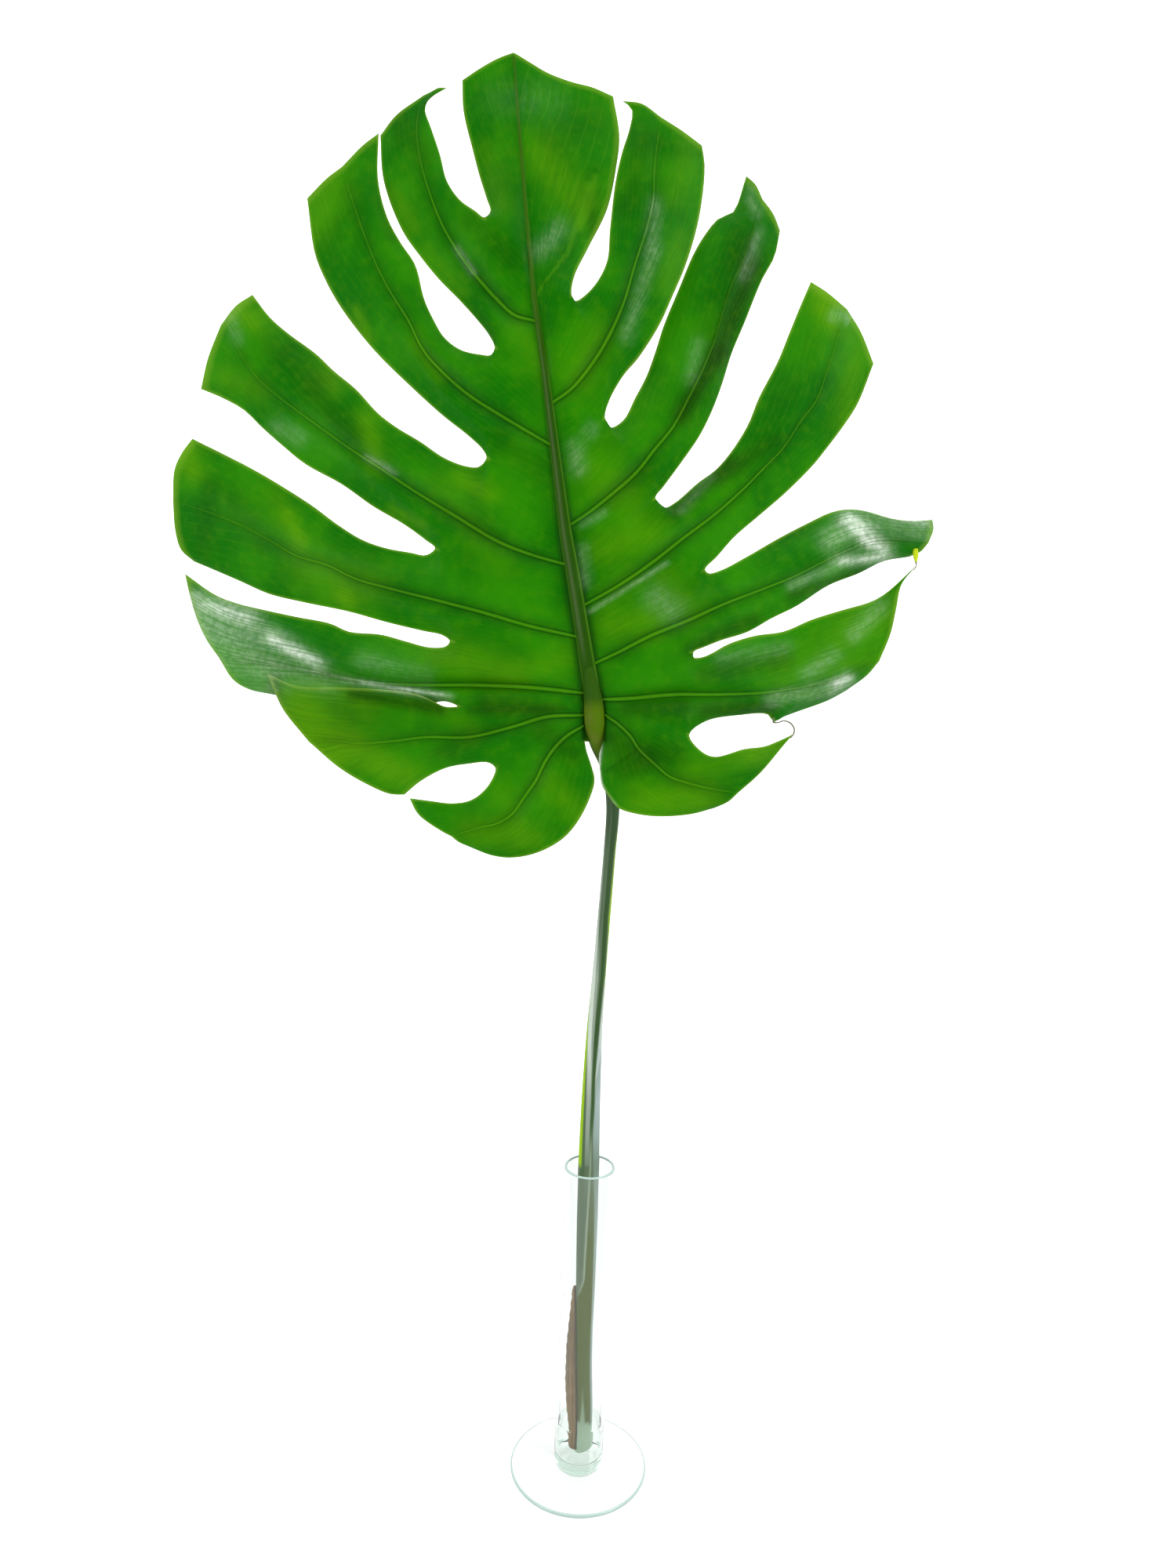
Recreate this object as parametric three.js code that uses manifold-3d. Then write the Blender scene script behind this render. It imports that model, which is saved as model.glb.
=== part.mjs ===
// One monstera leaf standing in a glass tube vase.
// Millimetres, +Z up, +Y away from the viewer. The origin is the centre of the foot's underside.

import * as THREE from "three";
import { mergeVertices } from "three/addons/utils/BufferGeometryUtils.js";
import Module from "manifold-3d";

const wasm = await Module();
wasm.setup();

// Vase: a glass tube bonded to a round glass foot
const footDiameter = 83.6;
const footThickness = 2.5;
const footBevel = 0.5;
const bondGap = 0.3;
const tubeDiameter = 30;
const tubeWall = 1.6;
const tubeRimHeight = 197.4;
const tubeBottomThickness = 7;
const tubeBottomRound = 4;
const tubeInnerRound = 3;
const tubeSides = 40;
const footSides = 56;

// Water, kept a little clear of the glass and of the stalk
const waterLevel = 31.5;
const waterGap = 0.3;
const waterHoleSlack = 0.2;
const waterHoleSides = 36;
const waterHoleEase = 0.15;
const waterHoleOverrun = 2;

// Stalk: its centre line [x, y, z] from the cut to the knee, with its half width at each point
const stalkLine = [
  [2.9, 1.5, 13.2, 5],
  [2.4, 2, 42, 5.1],
  [1.2, 2.5, 67, 5],
  [0.6, 3.1, 92, 5.2],
  [0.3, 3.8, 120, 5.9],
  [-0.2, 5, 161, 6.4],
  [-0.6, 6.2, 197, 6.3],
  [-0.8, 8, 235, 5.6],
  [-0.2, 10.4, 279, 4.6],
  [1.8, 12.8, 325, 3.8],
  [4.4, 14.6, 383, 3.5],
  [5.3, 14, 410, 3.8],
  [4, 11.6, 424, 4.1],
  [0.4, 8.2, 438, 4.5],
  [-4.4, 5, 449, 4.9],
  [-7.2, 3.2, 459, 4.9],
  [-7.9, 2, 467, 4.4],
  [-8.2, 1.6, 473, 3.8],
];
const stalkSides = 16;
const stalkRings = 46;
const stalkGrooveDepth = 0.1;
const stalkGrooveWidth = 0.42;
const stalkCutSlope = 0.45;
const kneeEndRound = 3.4;
const kneeEndFlat = 0.4;

// Dried strip of sheath that stands off the stalk's left side. Its edges are given in degrees round
// the stalk, where 180 is left and 270 is front.
const sheathTop = 121;
const sheathBottom = 13.5;
const sheathThickness = 1.1;
const sheathEdgeThickness = 0.7;
const sheathGap = 0.5;
const sheathFrom = 138;
const sheathTo = 216;
const sheathRings = 14;
const sheathSides = 9;
const sheathNarrowing = 0.6;
// How far the middle of the strip stands off the stalk, as [height, distance]
const sheathBulge = [
  [13.5, 3], [20, 3.4], [32, 4.7], [41, 5.7], [55, 6.2], [80, 5.3], [94, 3.9], [108, 2.4], [121, 1.1],
];

// Blade
const bladeThickness = 0.8;
const veinHeight = 1.1;
const midribHeight = 3.6;
const bladeRows = 12;
const firstRowShare = 0.05;
const acrossSteps = [0, 0.09, 0.38, 0.7, 1];
const ridgeSpread = 0.15;
const pleatHeight = 3.2;
const swellHeight = 1.2;
const waveHeight = 1.2;
const waveTurns = 9;
const leanSpan = 4;
const cutEndCrowding = 1.4;
const endShapeFade = 3;
const swellRise = 4;

// The blade's outline is drawn as [x, z] on the upright plane through the tube's axis, as seen
// from this viewing point. Each point then slides along its line of sight to its own depth.
const viewingPoint = new THREE.Vector3(-9.6, -612, 514.5);

// Midrib from the knee to the tip, with its half width at both ends and between
const midribLine = [
  [-7, 450], [-8, 471], [-10, 481], [-15, 506], [-21, 536], [-27, 564], [-34, 606],
  [-41, 648], [-48, 686], [-53, 725], [-58, 767], [-62, 804],
];
const midribHalfWidth = [
  [450, 5.5], [466, 5.5], [478, 4.8], [510, 4.2], [550, 3.8], [606, 2.7], [690, 1.4], [760, 0.8], [804, 0.4],
];
const kneeTop = 476;
const kneePartingFromEnd = 3;
const crestSteps = 40;
const midribDepth = [
  [450, -1.5], [472, 0], [520, 3], [600, 10], [690, 21], [804, 44],
];

// Each lobe is drawn by its vein, by its edges above and below the vein, and by its blunt end.
// root: height where the vein leaves the midrib
// vein: points after the root, to the tip of the lobe
// above, below: free edge from the end of the cut to the lobe's corner
// endAbove, endBelow: points between the vein's tip and the two corners
// depth: how far back the vein lies half way along and at the tip
// lift: how far back the two edges stand from the vein, half way and at the corner
const leftLobes = [
  {
    root: 706, vein: null,
    below: [[-72, 727], [-74, 733], [-78, 744], [-82, 757], [-87, 775], [-88, 790]],
    endBelow: [[-70, 801], [-79, 796]],
    lift: { below: [5, 9] },
  },
  {
    root: 674,
    vein: [
      [-58, 676], [-68, 684], [-79, 695], [-89, 707], [-97, 719], [-103, 732], [-108, 746], [-111, 760],
      [-111, 772], [-108, 782],
    ],
    above: [
      [-80, 727], [-88, 732], [-95, 741], [-99, 754], [-104, 767], [-107, 775], [-106, 779],
      [-103, 782], [-96, 786],
    ],
    below: [
      [-71, 665], [-77, 672], [-87, 682], [-98, 692], [-108, 703], [-118, 716],
      [-128, 740], [-130, 762],
    ],
    endAbove: [[-104, 784], [-100, 786]],
    endBelow: [[-111, 780], [-122, 772]],
    depth: [30, 52],
    lift: { above: [1, 3], below: [2, 5] },
  },
  {
    root: 611,
    vein: [
      [-52, 618], [-67, 626], [-81, 634], [-94, 644], [-106, 656], [-115, 672], [-124, 685],
      [-132, 699], [-142, 723], [-150, 746],
    ],
    above: [
      [-70, 655], [-75, 655], [-86, 657], [-95, 663], [-101, 672], [-106, 682], [-111, 699], [-119, 710],
      [-126, 722], [-131, 740], [-131, 763],
    ],
    below: [
      [-73, 606], [-81, 613], [-95, 623], [-112, 637], [-130, 653], [-142, 666], [-152, 679],
      [-159, 691], [-164, 703], [-168, 730],
    ],
    endAbove: [[-139, 757]],
    endBelow: [[-158, 740]],
    depth: [24, 52],
    lift: { above: [1, 4], below: [2, 6] },
  },
  {
    root: 548,
    vein: [
      [-47, 552], [-64, 558], [-88, 571], [-108, 582], [-128, 594], [-145, 604], [-168, 619],
      [-184, 630], [-197, 641], [-211, 662], [-214, 665],
    ],
    above: [
      [-75, 597], [-82, 597], [-94, 601], [-107, 609], [-120, 616], [-130, 623], [-142, 635], [-154, 644],
      [-163, 652], [-178, 662], [-188, 670], [-197, 681],
    ],
    below: [
      [-103, 557], [-115, 565], [-132, 574], [-149, 585], [-169, 595], [-181, 604], [-192, 613],
      [-202, 622], [-214, 628], [-225, 632],
    ],
    endAbove: [[-206, 675]],
    endBelow: [[-221, 648]],
    depth: [22, 58],
    lift: { above: [1, 5], below: [1, 5] },
  },
  {
    root: 509,
    vein: [
      [-46, 513], [-70, 519], [-97, 525], [-121, 530], [-142, 535], [-158, 542], [-174, 546],
      [-189, 554], [-201, 560], [-220, 567], [-241, 573],
    ],
    above: [
      [-103, 549], [-111, 550], [-125, 552], [-138, 556], [-152, 564], [-165, 573], [-182, 583], [-197, 591],
      [-212, 598], [-230, 606],
    ],
    below: [
      [-93, 506], [-104, 508], [-124, 512], [-145, 517], [-169, 521], [-189, 525], [-204, 531],
      [-222, 538], [-230, 541],
    ],
    endAbove: [[-240, 589], [-236, 598]],
    endBelow: [[-240, 557], [-237, 547]],
    depth: [18, 60],
    lift: { above: [2, 6], below: [2, 4] },
  },
  {
    root: 478,
    vein: [
      [-44, 479], [-79, 479], [-105, 478], [-127, 478], [-148, 480], [-165, 483], [-190, 486], [-217, 489],
    ],
    above: [
      [-91, 500], [-100, 499], [-114, 502], [-127, 505], [-145, 506], [-155, 510], [-174, 513], [-191, 516],
      [-206, 519], [-218, 523], [-235, 534],
    ],
    below: [[-91, 469.5], [-103, 467], [-125, 466], [-147, 466], [-166, 466.5], [-188, 470]],
    endAbove: [[-224, 499], [-229, 510], [-233, 524]],
    endBelow: [[-209, 477], [-200, 472]],
    depth: [17, 46],
    lift: { above: [3, 8], below: [14, 22] },
  },
  {
    root: 465,
    vein: [
      [-34, 463], [-52, 457], [-77, 450], [-101, 449], [-120, 446], [-139, 444], [-152, 445], [-167, 444],
    ],
    above: [
      [-91, 466.5], [-97, 469], [-104, 472], [-114, 474], [-136, 475], [-152, 475], [-174, 475], [-190, 481],
    ],
    below: [[-66, 436], [-77, 435], [-90, 432], [-104, 424], [-113, 416]],
    endAbove: [[-181, 461], [-186, 471]],
    endBelow: [[-150, 430], [-134, 421], [-121, 416]],
    depth: [-1, 7],
    lift: { above: [-2, 0], below: [1, 5] },
  },
  {
    root: 459,
    vein: [
      [-22, 453], [-28, 447], [-34, 438], [-39, 427], [-46, 416], [-52, 407], [-61, 401], [-69, 399],
      [-86, 393],
    ],
    above: [[-64, 426], [-69, 419], [-76, 414], [-86, 412], [-99, 413], [-110, 414]],
    below: [
      [-11, 444], [-8, 436], [-6, 428], [-9, 416], [-16, 402], [-24, 393], [-38, 385], [-52, 382],
      [-63, 383], [-77, 388],
    ],
    endAbove: [[-92, 396], [-105, 405]],
    endBelow: [[-82, 390]],
    depth: [-7, -5],
    lift: { above: [0, 3], below: [-2, 3] },
  },
];

// Where the left lobes part: height of the line's start on the midrib, then its points to the cut's end
const leftPartings = [
  { root: 706, line: [[-62, 714], [-75, 724]], rows: 3 },
  { root: 642, line: [[-55, 650], [-68, 659]], rows: 3 },
  { root: 576, line: [[-52, 588], [-71, 602]], rows: 3 },
  { root: 527, line: [[-52, 534], [-76, 543], [-98, 553]], rows: 4 },
  { root: 491, line: [[-43, 494], [-69, 498], [-89, 503]], rows: 4 },
  { root: 471, line: [[-37, 470], [-59, 468], [-84, 467]], rows: 4 },
  { root: 462, line: [[-33, 454], [-48, 444], [-62, 433]], rows: 4 },
  { root: 450, line: [], rows: 0 },
];

const rightLobes = [
  {
    root: 660, vein: null,
    below: [[-27, 696], [-20, 711], [-11, 730], [-7, 751], [-6, 766], [-10, 785]],
    endBelow: [[-52, 799], [-44, 795], [-31, 791], [-21, 789]],
    lift: { below: [5, 10] },
  },
  {
    root: 632,
    vein: [
      [-26, 640], [-15, 654], [-7, 668], [0, 685], [5, 704], [10, 721], [13, 736], [13, 752], [15, 776],
    ],
    above: [
      [-26, 684], [-17, 691], [-10, 704], [-9, 720], [-7, 744], [-4, 759], [-1, 769], [0, 779], [-5, 783],
    ],
    below: [
      [-6, 634], [1, 647], [9, 656], [20, 673], [27, 689], [33, 705], [38, 728], [39, 753], [37, 763],
    ],
    endAbove: [[5, 782]],
    endBelow: [[26, 770]],
    depth: [25, 48],
    lift: { above: [2, 5], below: [-1, 3] },
  },
  {
    root: 568,
    vein: [
      [-15, 575], [-3, 585], [10, 597], [19, 609], [29, 622], [37, 638], [43, 651], [49, 667],
      [56, 694], [62, 708], [70, 738],
    ],
    above: [
      [-5, 620], [2, 624], [8, 636], [13, 647], [17, 661], [20, 673], [28, 693], [35, 710], [42, 721],
      [48, 728], [55, 731], [61, 749],
    ],
    below: [
      [25, 590], [34, 603], [43, 617], [49, 630], [54, 645], [58, 660], [64, 676],
      [72, 698], [78, 710], [80, 723],
    ],
    endAbove: [[66, 745]],
    endBelow: [[76, 731]],
    depth: [24, 54],
    lift: { above: [6, 7], below: [3, 9] },
  },
  {
    root: 525,
    vein: [
      [2, 536], [20, 549], [38, 564], [53, 576], [67, 589], [80, 603], [89, 613], [98, 628],
      [105, 638], [110, 654], [118, 685],
    ],
    above: [
      [26, 579], [32, 582], [44, 593], [53, 600], [61, 610], [69, 624], [74, 638], [83, 657], [88, 671],
      [93, 685], [98, 698],
    ],
    below: [
      [56, 554], [65, 565], [78, 577], [91, 589], [105, 604], [111, 612], [120, 625],
      [127, 637], [134, 658],
    ],
    endAbove: [[107, 693]],
    endBelow: [[126, 674]],
    depth: [20, 56],
    lift: { above: [1, 4], below: [2, 6] },
  },
  {
    root: 493,
    vein: [
      [4, 500], [22, 510], [42, 519], [60, 528], [81, 537], [97, 544], [110, 551], [123, 558],
      [143, 566], [171, 566],
    ],
    above: [
      [52, 545], [59, 547], [73, 555], [89, 565], [105, 574], [117, 580], [127, 582], [137, 581], [149, 578],
      [161, 577], [172, 578],
    ],
    below: [
      [52, 505], [61, 509], [75, 514], [88, 522], [101, 529], [118, 541], [134, 548], [147, 555], [161, 558],
    ],
    endAbove: [[173, 573]],
    endBelow: [[167, 561]],
    depth: [19, 58],
    lift: { above: [3, 10], below: [2, 6] },
  },
  {
    root: 473,
    vein: [[12, 475], [36, 478], [61, 479], [87, 481], [104, 484], [127, 490], [149, 501]],
    above: [
      [46, 499], [50, 499], [55, 501], [65, 507], [79, 512], [95, 515], [110, 522], [127, 528], [142, 533],
      [150, 538], [165, 553],
    ],
    below: [[55, 464], [73, 468], [89, 469], [97, 467], [105, 471], [122, 478], [132, 484]],
    endAbove: [[154, 516], [156, 529], [158, 543]],
    endBelow: [[143, 493]],
    depth: [16, 44],
    lift: { above: [2, 7], below: [3, 9] },
  },
  {
    root: 465,
    vein: [[5, 461], [13, 454], [18, 447], [27, 439], [36, 432], [45, 429], [59, 426], [75, 424]],
    above: [[53, 447], [61, 444], [77, 450], [90, 454], [98, 459], [104, 463]],
    below: [
      [-4, 442], [-3, 433], [-2, 426], [2, 420], [8, 413], [18, 410], [31, 409], [49, 411], [62, 415],
    ],
    endAbove: [[87, 436], [99, 452]],
    endBelow: [[70, 419]],
    depth: [-10, -6],
    lift: { above: [2, 8], below: [-1, 2] },
  },
];

const rightPartings = [
  { root: 660, line: [[-36, 672], [-28, 687]], rows: 3 },
  { root: 597, line: [[-18, 609], [-8, 625]], rows: 3 },
  { root: 544, line: [[-5, 555], [9, 569], [21, 584]], rows: 4 },
  { root: 508, line: [[9, 521], [31, 533], [50, 547]], rows: 4 },
  { root: 482, line: [[18, 492], [46, 502]], rows: 4 },
  { root: 469, line: [[22, 465], [46, 456]], rows: 4 },
  { root: 450, line: [], rows: 0 },
];

// Materials
const leafGreen = new THREE.MeshStandardMaterial({ color: 0x3f8a1c, roughness: 0.38, metalness: 0 });
const stalkGreen = new THREE.MeshStandardMaterial({ color: 0x6f8f6a, roughness: 0.5, metalness: 0 });
const dryBrown = new THREE.MeshStandardMaterial({ color: 0x8a7350, roughness: 0.8, metalness: 0 });
const clearGlass = new THREE.MeshStandardMaterial({
  color: 0xdfeeea, roughness: 0.05, metalness: 0, transparent: true, opacity: 0.35,
});
const footGlass = clearGlass.clone();
const clearWater = new THREE.MeshStandardMaterial({
  color: 0xe6f2f2, roughness: 0.02, metalness: 0, transparent: true, opacity: 0.35,
});

const leafGroup = new THREE.Group();

function addPart(name, geometry, material) {
  const mesh = new THREE.Mesh(geometry, material);
  mesh.name = name;
  leafGroup.add(mesh);
}

// Joining and cutting
function toSolid(geometry) {
  const bare = geometry.clone();
  bare.deleteAttribute("normal");
  bare.deleteAttribute("uv");
  const merged = mergeVertices(bare, 0.0001);
  return new wasm.Manifold(new wasm.Mesh({
    numProp: 3,
    vertProperties: new Float32Array(merged.attributes.position.array),
    triVerts: new Uint32Array(merged.index.array),
  }));
}

function toGeometry(solid) {
  const mesh = solid.getMesh();
  const geometry = new THREE.BufferGeometry();
  geometry.setAttribute("position", new THREE.BufferAttribute(new Float32Array(mesh.vertProperties), 3));
  geometry.setIndex(new THREE.BufferAttribute(new Uint32Array(mesh.triVerts), 1));
  geometry.computeVertexNormals();
  return geometry;
}

function fromTriangles(points, faces) {
  const geometry = new THREE.BufferGeometry();
  const numbers = points.flatMap((point) => [point.x, point.y, point.z]);
  geometry.setAttribute("position", new THREE.Float32BufferAttribute(numbers, 3));
  geometry.setIndex(faces.flat());
  geometry.computeVertexNormals();
  return geometry;
}

// A turned shape standing on Z, from its profile of [radius, height]
function turned(profile, sides) {
  const points = profile.map(([radius, height]) => new THREE.Vector2(radius, height));
  const geometry = new THREE.LatheGeometry(points, sides);
  geometry.rotateX(Math.PI / 2);
  return geometry;
}

// Quarter circle of profile points round a corner, from one angle to another, in degrees
function cornerArc(radius, height, round, fromAngle, toAngle, steps) {
  const points = [];
  for (let i = 0; i <= steps; i += 1) {
    const angle = THREE.MathUtils.degToRad(fromAngle + ((toAngle - fromAngle) * i) / steps);
    points.push([radius + round * Math.cos(angle), height + round * Math.sin(angle)]);
  }
  return points;
}

// Straight steps through a table of [key, value]
function lookUp(table, key) {
  if (key <= table[0][0]) {
    return table[0][1];
  }
  for (let i = 1; i < table.length; i += 1) {
    const [highKey, highValue] = table[i];
    if (key <= highKey) {
      const [lowKey, lowValue] = table[i - 1];
      return THREE.MathUtils.mapLinear(key, lowKey, highKey, lowValue, highValue);
    }
  }
  return table[table.length - 1][1];
}

// Vase foot
const footRadius = footDiameter / 2;
const footProfile = [
  [0, 0],
  [footRadius - footBevel, 0],
  [footRadius, footBevel],
  [footRadius, footThickness - footBevel],
  [footRadius - footBevel, footThickness],
  [0, footThickness],
];
addPart("vase_foot", turned(footProfile, footSides), footGlass);

// Vase tube
const tubeRadius = tubeDiameter / 2;
const boreRadius = tubeRadius - tubeWall;
const tubeBase = footThickness + bondGap;
const boreBottom = tubeBase + tubeBottomThickness;
const rimRound = tubeWall / 2;
const tubeProfile = [
  [0, tubeBase],
  ...cornerArc(tubeRadius - tubeBottomRound, tubeBase + tubeBottomRound, tubeBottomRound, -90, 0, 4),
  ...cornerArc(tubeRadius - rimRound, tubeRimHeight - rimRound, rimRound, 0, 180, 4),
  ...cornerArc(boreRadius - tubeInnerRound, boreBottom + tubeInnerRound, tubeInnerRound, 0, -90, 3),
  [0, boreBottom],
];
addPart("vase_tube", turned(tubeProfile, tubeSides), clearGlass);

// Stalk: rings of points round its centre line, with a groove down its front
const stalkCurve = new THREE.CatmullRomCurve3(stalkLine.map(([x, y, z]) => new THREE.Vector3(x, y, z)));
const stalkWidths = stalkLine.map(([, , z, halfWidth]) => [z, halfWidth]);

function stalkCentre(height) {
  let low = 0;
  let high = 1;
  for (let i = 0; i < 30; i += 1) {
    const middle = (low + high) / 2;
    if (stalkCurve.getPoint(middle).z < height) {
      low = middle;
    } else {
      high = middle;
    }
  }
  return stalkCurve.getPoint(low);
}

function stalkRadius(height, angle) {
  const groove = Math.exp(-(((angle + Math.PI / 2) / stalkGrooveWidth) ** 2));
  return lookUp(stalkWidths, height) * (1 - stalkGrooveDepth * groove);
}

function ringAt(centre, direction, radiusAt, sides) {
  const across = new THREE.Vector3(1, 0, 0).addScaledVector(direction, -direction.x).normalize();
  const back = new THREE.Vector3().crossVectors(direction, across);
  const ring = [];
  for (let i = 0; i < sides; i += 1) {
    const angle = (2 * Math.PI * i) / sides - Math.PI;
    const radius = radiusAt(angle);
    ring.push(centre.clone()
      .addScaledVector(across, radius * Math.cos(angle))
      .addScaledVector(back, radius * Math.sin(angle)));
  }
  return ring;
}

// A closed body over rings of one even size. Each end is closed by strips between opposite points.
function lofted(rings) {
  const sides = rings[0].length;
  const points = rings.flat();
  const faces = [];
  for (let r = 0; r + 1 < rings.length; r += 1) {
    for (let i = 0; i < sides; i += 1) {
      const next = (i + 1) % sides;
      const a = r * sides + i;
      const b = r * sides + next;
      faces.push([a, b, b + sides], [a, b + sides, a + sides]);
    }
  }
  const last = (rings.length - 1) * sides;
  for (let i = 0; i + 1 < sides / 2; i += 1) {
    const across = sides - 1 - i;
    faces.push([i + 1, i, across], [i + 1, across, across - 1]);
    faces.push([last + i, last + i + 1, last + across - 1], [last + i, last + across - 1, last + across]);
  }
  return fromTriangles(points, faces);
}

const stalkRingList = [];
for (let i = 0; i <= stalkRings; i += 1) {
  const along = i / stalkRings;
  const centre = stalkCurve.getPoint(along);
  const direction = stalkCurve.getTangent(along);
  const toTop = stalkLine[stalkLine.length - 1][2] - centre.z;
  const rounding = Math.sqrt(Math.min(1, (toTop + kneeEndFlat) / kneeEndRound));
  const ring = ringAt(centre, direction, (angle) => rounding * stalkRadius(centre.z, angle), stalkSides);
  if (i === 0) {
    ring.forEach((point) => {
      point.z += stalkCutSlope * (point.x - centre.x);
    });
  }
  stalkRingList.push(ring);
}
addPart("petiole", lofted(stalkRingList), stalkGreen);

// Sheath: a thin curved strip that stands off the stalk's left side, narrow at its top
function besideStalk(centre, height, degrees, radius) {
  const angle = THREE.MathUtils.degToRad(degrees);
  return new THREE.Vector3(centre.x + radius * Math.cos(angle), centre.y + radius * Math.sin(angle), height);
}

// Outer radius of the strip, from 0 at one edge of the strip to 1 at the other
function sheathOuter(height, across) {
  const bulge = lookUp(sheathBulge, height) - sheathEdgeThickness;
  return lookUp(stalkWidths, height) + sheathGap + sheathEdgeThickness + bulge * Math.sin(Math.PI * across);
}

const sheathRingList = [];
for (let i = 0; i <= sheathRings; i += 1) {
  const along = i / sheathRings;
  const height = THREE.MathUtils.lerp(sheathBottom, sheathTop, along);
  const centre = stalkCentre(height);
  const middle = (sheathFrom + sheathTo) / 2;
  const half = ((sheathTo - sheathFrom) / 2) * (1 - sheathNarrowing * along ** 3);
  const outer = [];
  const inner = [];
  for (let j = 0; j <= sheathSides; j += 1) {
    const across = j / sheathSides;
    const degrees = middle + half * (2 * across - 1);
    const far = sheathOuter(height, across);
    const thickness = THREE.MathUtils.lerp(sheathEdgeThickness, sheathThickness, Math.sin(Math.PI * across));
    outer.push(besideStalk(centre, height, degrees, far));
    inner.push(besideStalk(centre, height, degrees, far - thickness));
  }
  sheathRingList.push([...outer, ...inner.reverse()]);
}
addPart("petiole_sheath", lofted(sheathRingList), dryBrown);

// Water: fills the bore's round bottom, with a plain hole for the stalk and its sheath
const waterRadius = boreRadius - waterGap;
const waterRound = tubeInnerRound - waterGap;
const waterBottom = boreBottom + waterGap;
const waterProfile = [
  [0, waterBottom],
  ...cornerArc(waterRadius - waterRound, waterBottom + waterRound, waterRound, -90, 0, 3),
  [waterRadius, waterLevel],
  [0, waterLevel],
];

function holeRing(height) {
  const centre = stalkCentre(height);
  const ring = [];
  for (let i = 0; i < waterHoleSides; i += 1) {
    const degrees = (360 * i) / waterHoleSides;
    const across = (degrees - sheathFrom) / (sheathTo - sheathFrom);
    const byStalk = lookUp(stalkWidths, height);
    const bySheath = sheathOuter(height, THREE.MathUtils.clamp(across, 0, 1));
    const besideSheath = Math.abs(across - 0.5) < 0.5 + waterHoleEase;
    const radius = (besideSheath ? bySheath : byStalk) + waterGap + waterHoleSlack;
    ring.push(besideStalk(centre, height, degrees, radius));
  }
  return ring;
}

const holeGeometry = lofted([
  holeRing(boreBottom - waterHoleOverrun),
  holeRing((boreBottom + waterLevel) / 2),
  holeRing(waterLevel + waterHoleOverrun),
]);
const waterSolid = toSolid(turned(waterProfile, tubeSides)).subtract(toSolid(holeGeometry));
addPart("water", toGeometry(waterSolid), clearWater);

// Curve through points [x, z] of the outline plane
function planeCurve(points) {
  return new THREE.CatmullRomCurve3(points.map(([x, z]) => new THREE.Vector3(x, 0, z)), false, "centripetal");
}

const midribX = midribLine.map(([x, z]) => [z, x]);

// Point [x, z] on the midrib's edge at a height; side is -1 for left and 1 for right
function ribEdge(height, side) {
  const lean = (lookUp(midribX, height + leanSpan) - lookUp(midribX, height - leanSpan)) / (2 * leanSpan);
  const half = lookUp(midribHalfWidth, height);
  return [lookUp(midribX, height) + side * half, height - side * half * lean];
}

// Share of the way out along a lobe at each row; the first row lies close to the midrib
function rowShare(row) {
  return row === 0 ? 0 : THREE.MathUtils.mapLinear(row, 1, bladeRows, firstRowShare, 1);
}

// Value at a share of the way, through a start, a middle and an end value
function bent(start, middle, end, share) {
  const bend = 2 * start - 4 * middle + 2 * end;
  return start + (end - start - bend) * share + bend * share * share;
}

const drawnPoints = [];
const backRidge = [];
const middleFaces = [];

// The middle surface's point that is drawn at [x, z] and lies at a depth, with the ridge behind it
function addPoint(x, z, depth, ridge) {
  const seen = new THREE.Vector3(x, 0, z).sub(viewingPoint);
  const stretch = (depth - viewingPoint.y) / -viewingPoint.y;
  drawnPoints.push(viewingPoint.clone().addScaledVector(seen, stretch));
  backRidge.push(ridge);
  return drawnPoints.length - 1;
}

function addFace(a, b, c) {
  if (a !== b && b !== c && c !== a) {
    middleFaces.push([a, b, c]);
  }
}

// Two triangles over a four-cornered cell, split along its shorter diagonal
function addCell(corners) {
  const [a, b, c, d] = corners;
  const [one, two, three, four] = corners.map((corner) => drawnPoints[corner]);
  if (one.distanceTo(three) <= two.distanceTo(four)) {
    addFace(a, b, c);
    addFace(a, c, d);
  } else {
    addFace(a, b, d);
    addFace(b, c, d);
  }
}

function ribFoot(height, side) {
  const [x, z] = ribEdge(height, side);
  return addPoint(x, z, lookUp(midribDepth, height), 0);
}

const [tipX, tipZ] = midribLine[midribLine.length - 1];
const tipIndex = addPoint(tipX, tipZ, lookUp(midribDepth, tipZ), 0);

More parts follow.
